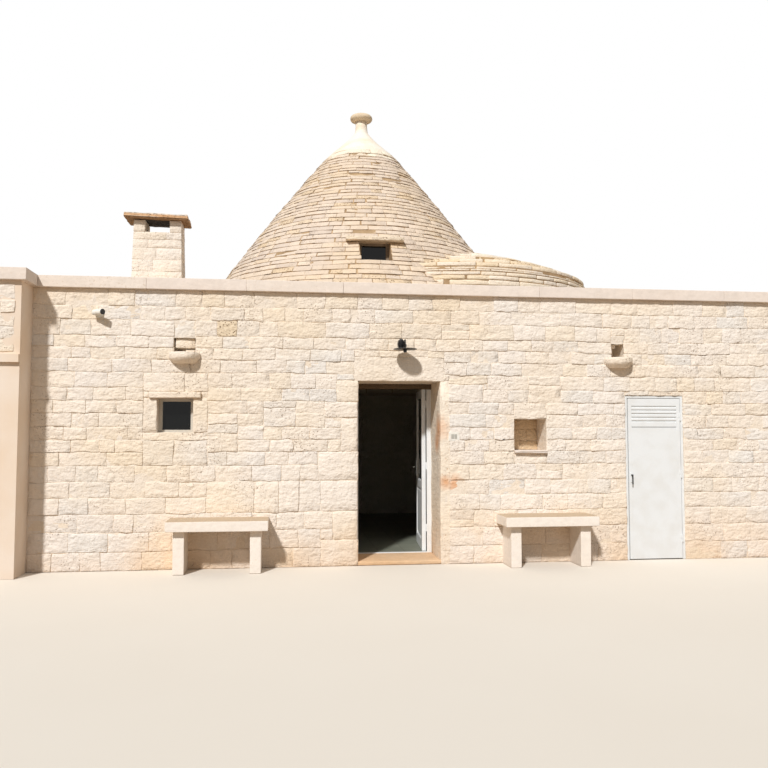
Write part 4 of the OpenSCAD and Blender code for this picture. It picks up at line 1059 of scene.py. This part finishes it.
# A blade sheds the rain behind each slot
for bottom, top in slots:
    block(bm, (left + 0.041, right - 0.041), (front + 0.012, front + 0.016), (bottom - 0.006, top + 0.006),
          0.001)
hinge_halves(bm, hinge_x, hinge_y, hinge_plate_y, hinge_levels, -1)
finish_metalwork("closet_leaf_panel", bm, powder_coat, "closet_door", ["closet_leaf"])

# Black-painted steel, satin, a little worn
black_paint = mottled("black_satin_paint", 0.42, ("#1c1c1e", "#34322f"), 40, 3, (0.5, 0.8))
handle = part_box("closet_handle")
x, y, grip_r = (handle[0].x + handle[1].x) / 2, -3.083, 0.008
bm = bmesh.new()
block(bm, (handle[0].x, handle[1].x), (-3.051, front), (0.92, 1.04), 0.002)
finish_metalwork("closet_lever_plate", bm, powder_coat, "closet_door")
bm = bmesh.new()
rod(bm, (x, -3.047, 1.01), (x, y, 1.01), grip_r, 16)
rod(bm, (x, y, 1.018), (x, y, 0.9), grip_r, 16, 0.003)
finish_metalwork("closet_lever", bm, black_paint, "closet_door", ["closet_handle"])


# Windows
# Small fixed lights in the front wall, the back wall and the main cone: a frame 34 mm wide and 45 mm
# deep that is screwed into the reveal, with one clear pane. The cone's frame is bare, grey wood.

# Softwood, planed and left to weather: brown-grey, with the grain along the pieces
grey_wood = mottled("weathered_softwood", 0.75, ("#7a6957", "#9a8a76"), 1.0, 4, (0.3, 0.7),
                    grain=(1.0, 4, 0.4, 0.002), stretch=(12, 90, 90))
# Oil paint, beige, satin, with brush marks, greyed and darkened as painted shade of the reveal
shade_greyed_paint = mottled("beige_paint_greyed_for_shade", 0.45, ("#bdb4a6", "#d0c9bd"), 45, 3, grain=(45, 3, 0.2, 0.001))

wide, deep, stop_in = 0.034, 0.045, 0.042
painted, panes, bare = bmesh.new(), bmesh.new(), bmesh.new()
for x, z, y, bm in ((window_x, window_z, -2.915, painted), (window_x, window_z, 2.87, painted),
                    ((-0.205, 0.205), (3.735, 4.045), -1.76, bare)):
    y = (y, y + deep)
    for a, b in ((x[0], x[0] + wide), (x[1] - wide, x[1])):
        block(bm, (a, b), y, z, 0.002)
    for a, b in ((z[0], z[0] + wide), (z[1] - wide, z[1])):
        block(bm, (x[0] + 0.033, x[1] - 0.033), (y[0] + 0.0005, y[1] - 0.0005), (a, b), 0.002)
    # The stops beside the pane
    for a, b in ((x[0] + 0.033, x[0] + stop_in), (x[1] - stop_in, x[1] - 0.033)):
        block(bm, (a, b), (y[0] + 0.01, y[1] - 0.01), (z[0] + 0.03, z[1] - 0.03), 0.001)
    block(panes, (x[0] + wide, x[1] - wide), (y[0] + 0.0145, y[0] + 0.0305), (z[0] + wide, z[1] - wide),
          0.001)
finish_metalwork("window_sashes", painted, shade_greyed_paint, stands_for=["window_frames"])
finish_metalwork("cone_sash", bare, grey_wood)
finish_metalwork("window_panes", panes, shade_dark_glass, stands_for=["window_glass"])


# Lamp over the door
# A black iron wall lamp: a ribbed lamp holder beside an upright rod on an arm, with a flat enamelled
# disc under both.

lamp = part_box("door_lamp")
lamp_x, lamp_y, disc_z = (lamp[0].x + lamp[1].x) / 2, front_y - 0.175, 2.475
holder_x, wall_rod_y = lamp_x - 0.045, front_y - 0.024
arm_z, rod_top, bar_r = disc_z + 0.06, disc_z + 0.112, 0.009
bm = bmesh.new()
turned(bm, [(0, 0), (0.022, 0), (0.13, -0.004), (0.1365, -0.002), (0.1365, 0.002), (0.13, 0.004),
            (0.03, 0.006), (0, 0.006)], 48, (lamp_x, lamp_y, disc_z))
ribs = [(0, 0.006), (0.022, 0.006)]
for i in range(7):
    level = 0.012 + 0.0135 * i
    width = 0.047 * math.sin(math.radians(48 + 14 * i)) ** 0.8
    ribs += [(width - inset, level + up)
             for inset, up in ((0, 0), (0, 0.006), (0.014, 0.0075), (0.014, 0.0125))]
turned(bm, ribs + [(0.02, 0.112), (0.012, 0.117), (0, 0.118)], 32, (holder_x, lamp_y, disc_z))
turned(bm, [(0, -0.038), (0.014, -0.038), (0.018, -0.034), (0.02, -0.03), (0.02, 0.001), (0, 0.001)], 24,
       (lamp_x, lamp_y, disc_z))
rod(bm, (lamp_x, lamp_y, arm_z), (lamp_x, front_y - 0.016, arm_z), bar_r, 16)
rod(bm, (lamp_x, lamp_y, disc_z), (lamp_x, lamp_y, rod_top), bar_r, 16, 0.003)
rod(bm, (holder_x, lamp_y, arm_z), (lamp_x, lamp_y, arm_z), bar_r, 16)
rod(bm, (lamp_x, wall_rod_y, disc_z + 0.012), (lamp_x, wall_rod_y, rod_top), bar_r, 16, 0.003)
rod(bm, (lamp_x, front_y, arm_z), (lamp_x, front_y - 0.018, arm_z), 0.042, 32, 0.003)
finish_metalwork("iron_lamp", bm, black_paint, stands_for=["door_lamp"])


# Wall camera and switch
# A white plastic bullet camera on a short stem near the left corner, and an ivory double switch in a
# surface box right of the door.

# Moulded ABS: smooth, faintly yellowed, satin
plastic = mottled("ivory_abs", 0.45, ("#efece4", "#e0d9ca"), 25, 3, (0.4, 0.8), ior=1.53)
grey_plastic = mottled("grey_abs", 0.5, ("#a9a69d", "#b8b4a9"), 25, 3, ior=1.53)
stem_x, stem_z, heading_angle = -3.235, 2.85, math.radians(55)
bm = bmesh.new()
rod(bm, (stem_x, front_y, stem_z), (stem_x, front_y - 0.024, stem_z), 0.05, 32, 0.004)
rod(bm, (stem_x, front_y - 0.02, stem_z), (stem_x, front_y - 0.085, stem_z), 0.012)
heading = Vector((math.sin(heading_angle), -math.cos(heading_angle), 0))
middle = Vector((stem_x, front_y - 0.09, stem_z))
nose, tail = middle + heading * 0.075, middle - heading * 0.06
rod(bm, tail, nose, 0.033, 32, 0.006)
finish_metalwork("camera_housing", bm, plastic, stands_for=["wall_camera"])
bm = bmesh.new()
rod(bm, nose - heading * 0.004, nose + heading * 0.012, 0.0315, 32, 0.003)
finish_metalwork("camera_window", bm, black_paint)
x, y, z = box_sides("switch_plate")
rim = 0.012
bm = bmesh.new()
block(bm, x, (y[0] + 0.004, y[1]), z, 0.004)
block(bm, (x[0] + rim, x[1] - rim), (y[0] + 0.002, y[0] + 0.008), (z[0] + rim, z[1] - rim), 0.002)
finish_metalwork("switch_box", bm, plastic, stands_for=["switch_plate"])
bm = bmesh.new()
for a, b in ((0.766, 0.799), (0.803, 0.836)):
    block(bm, (a, b), (y[0], y[0] + 0.006), (z[0] + 0.026, z[1] - 0.026), 0.002)
finish_metalwork("switch_buttons", bm, grey_plastic)
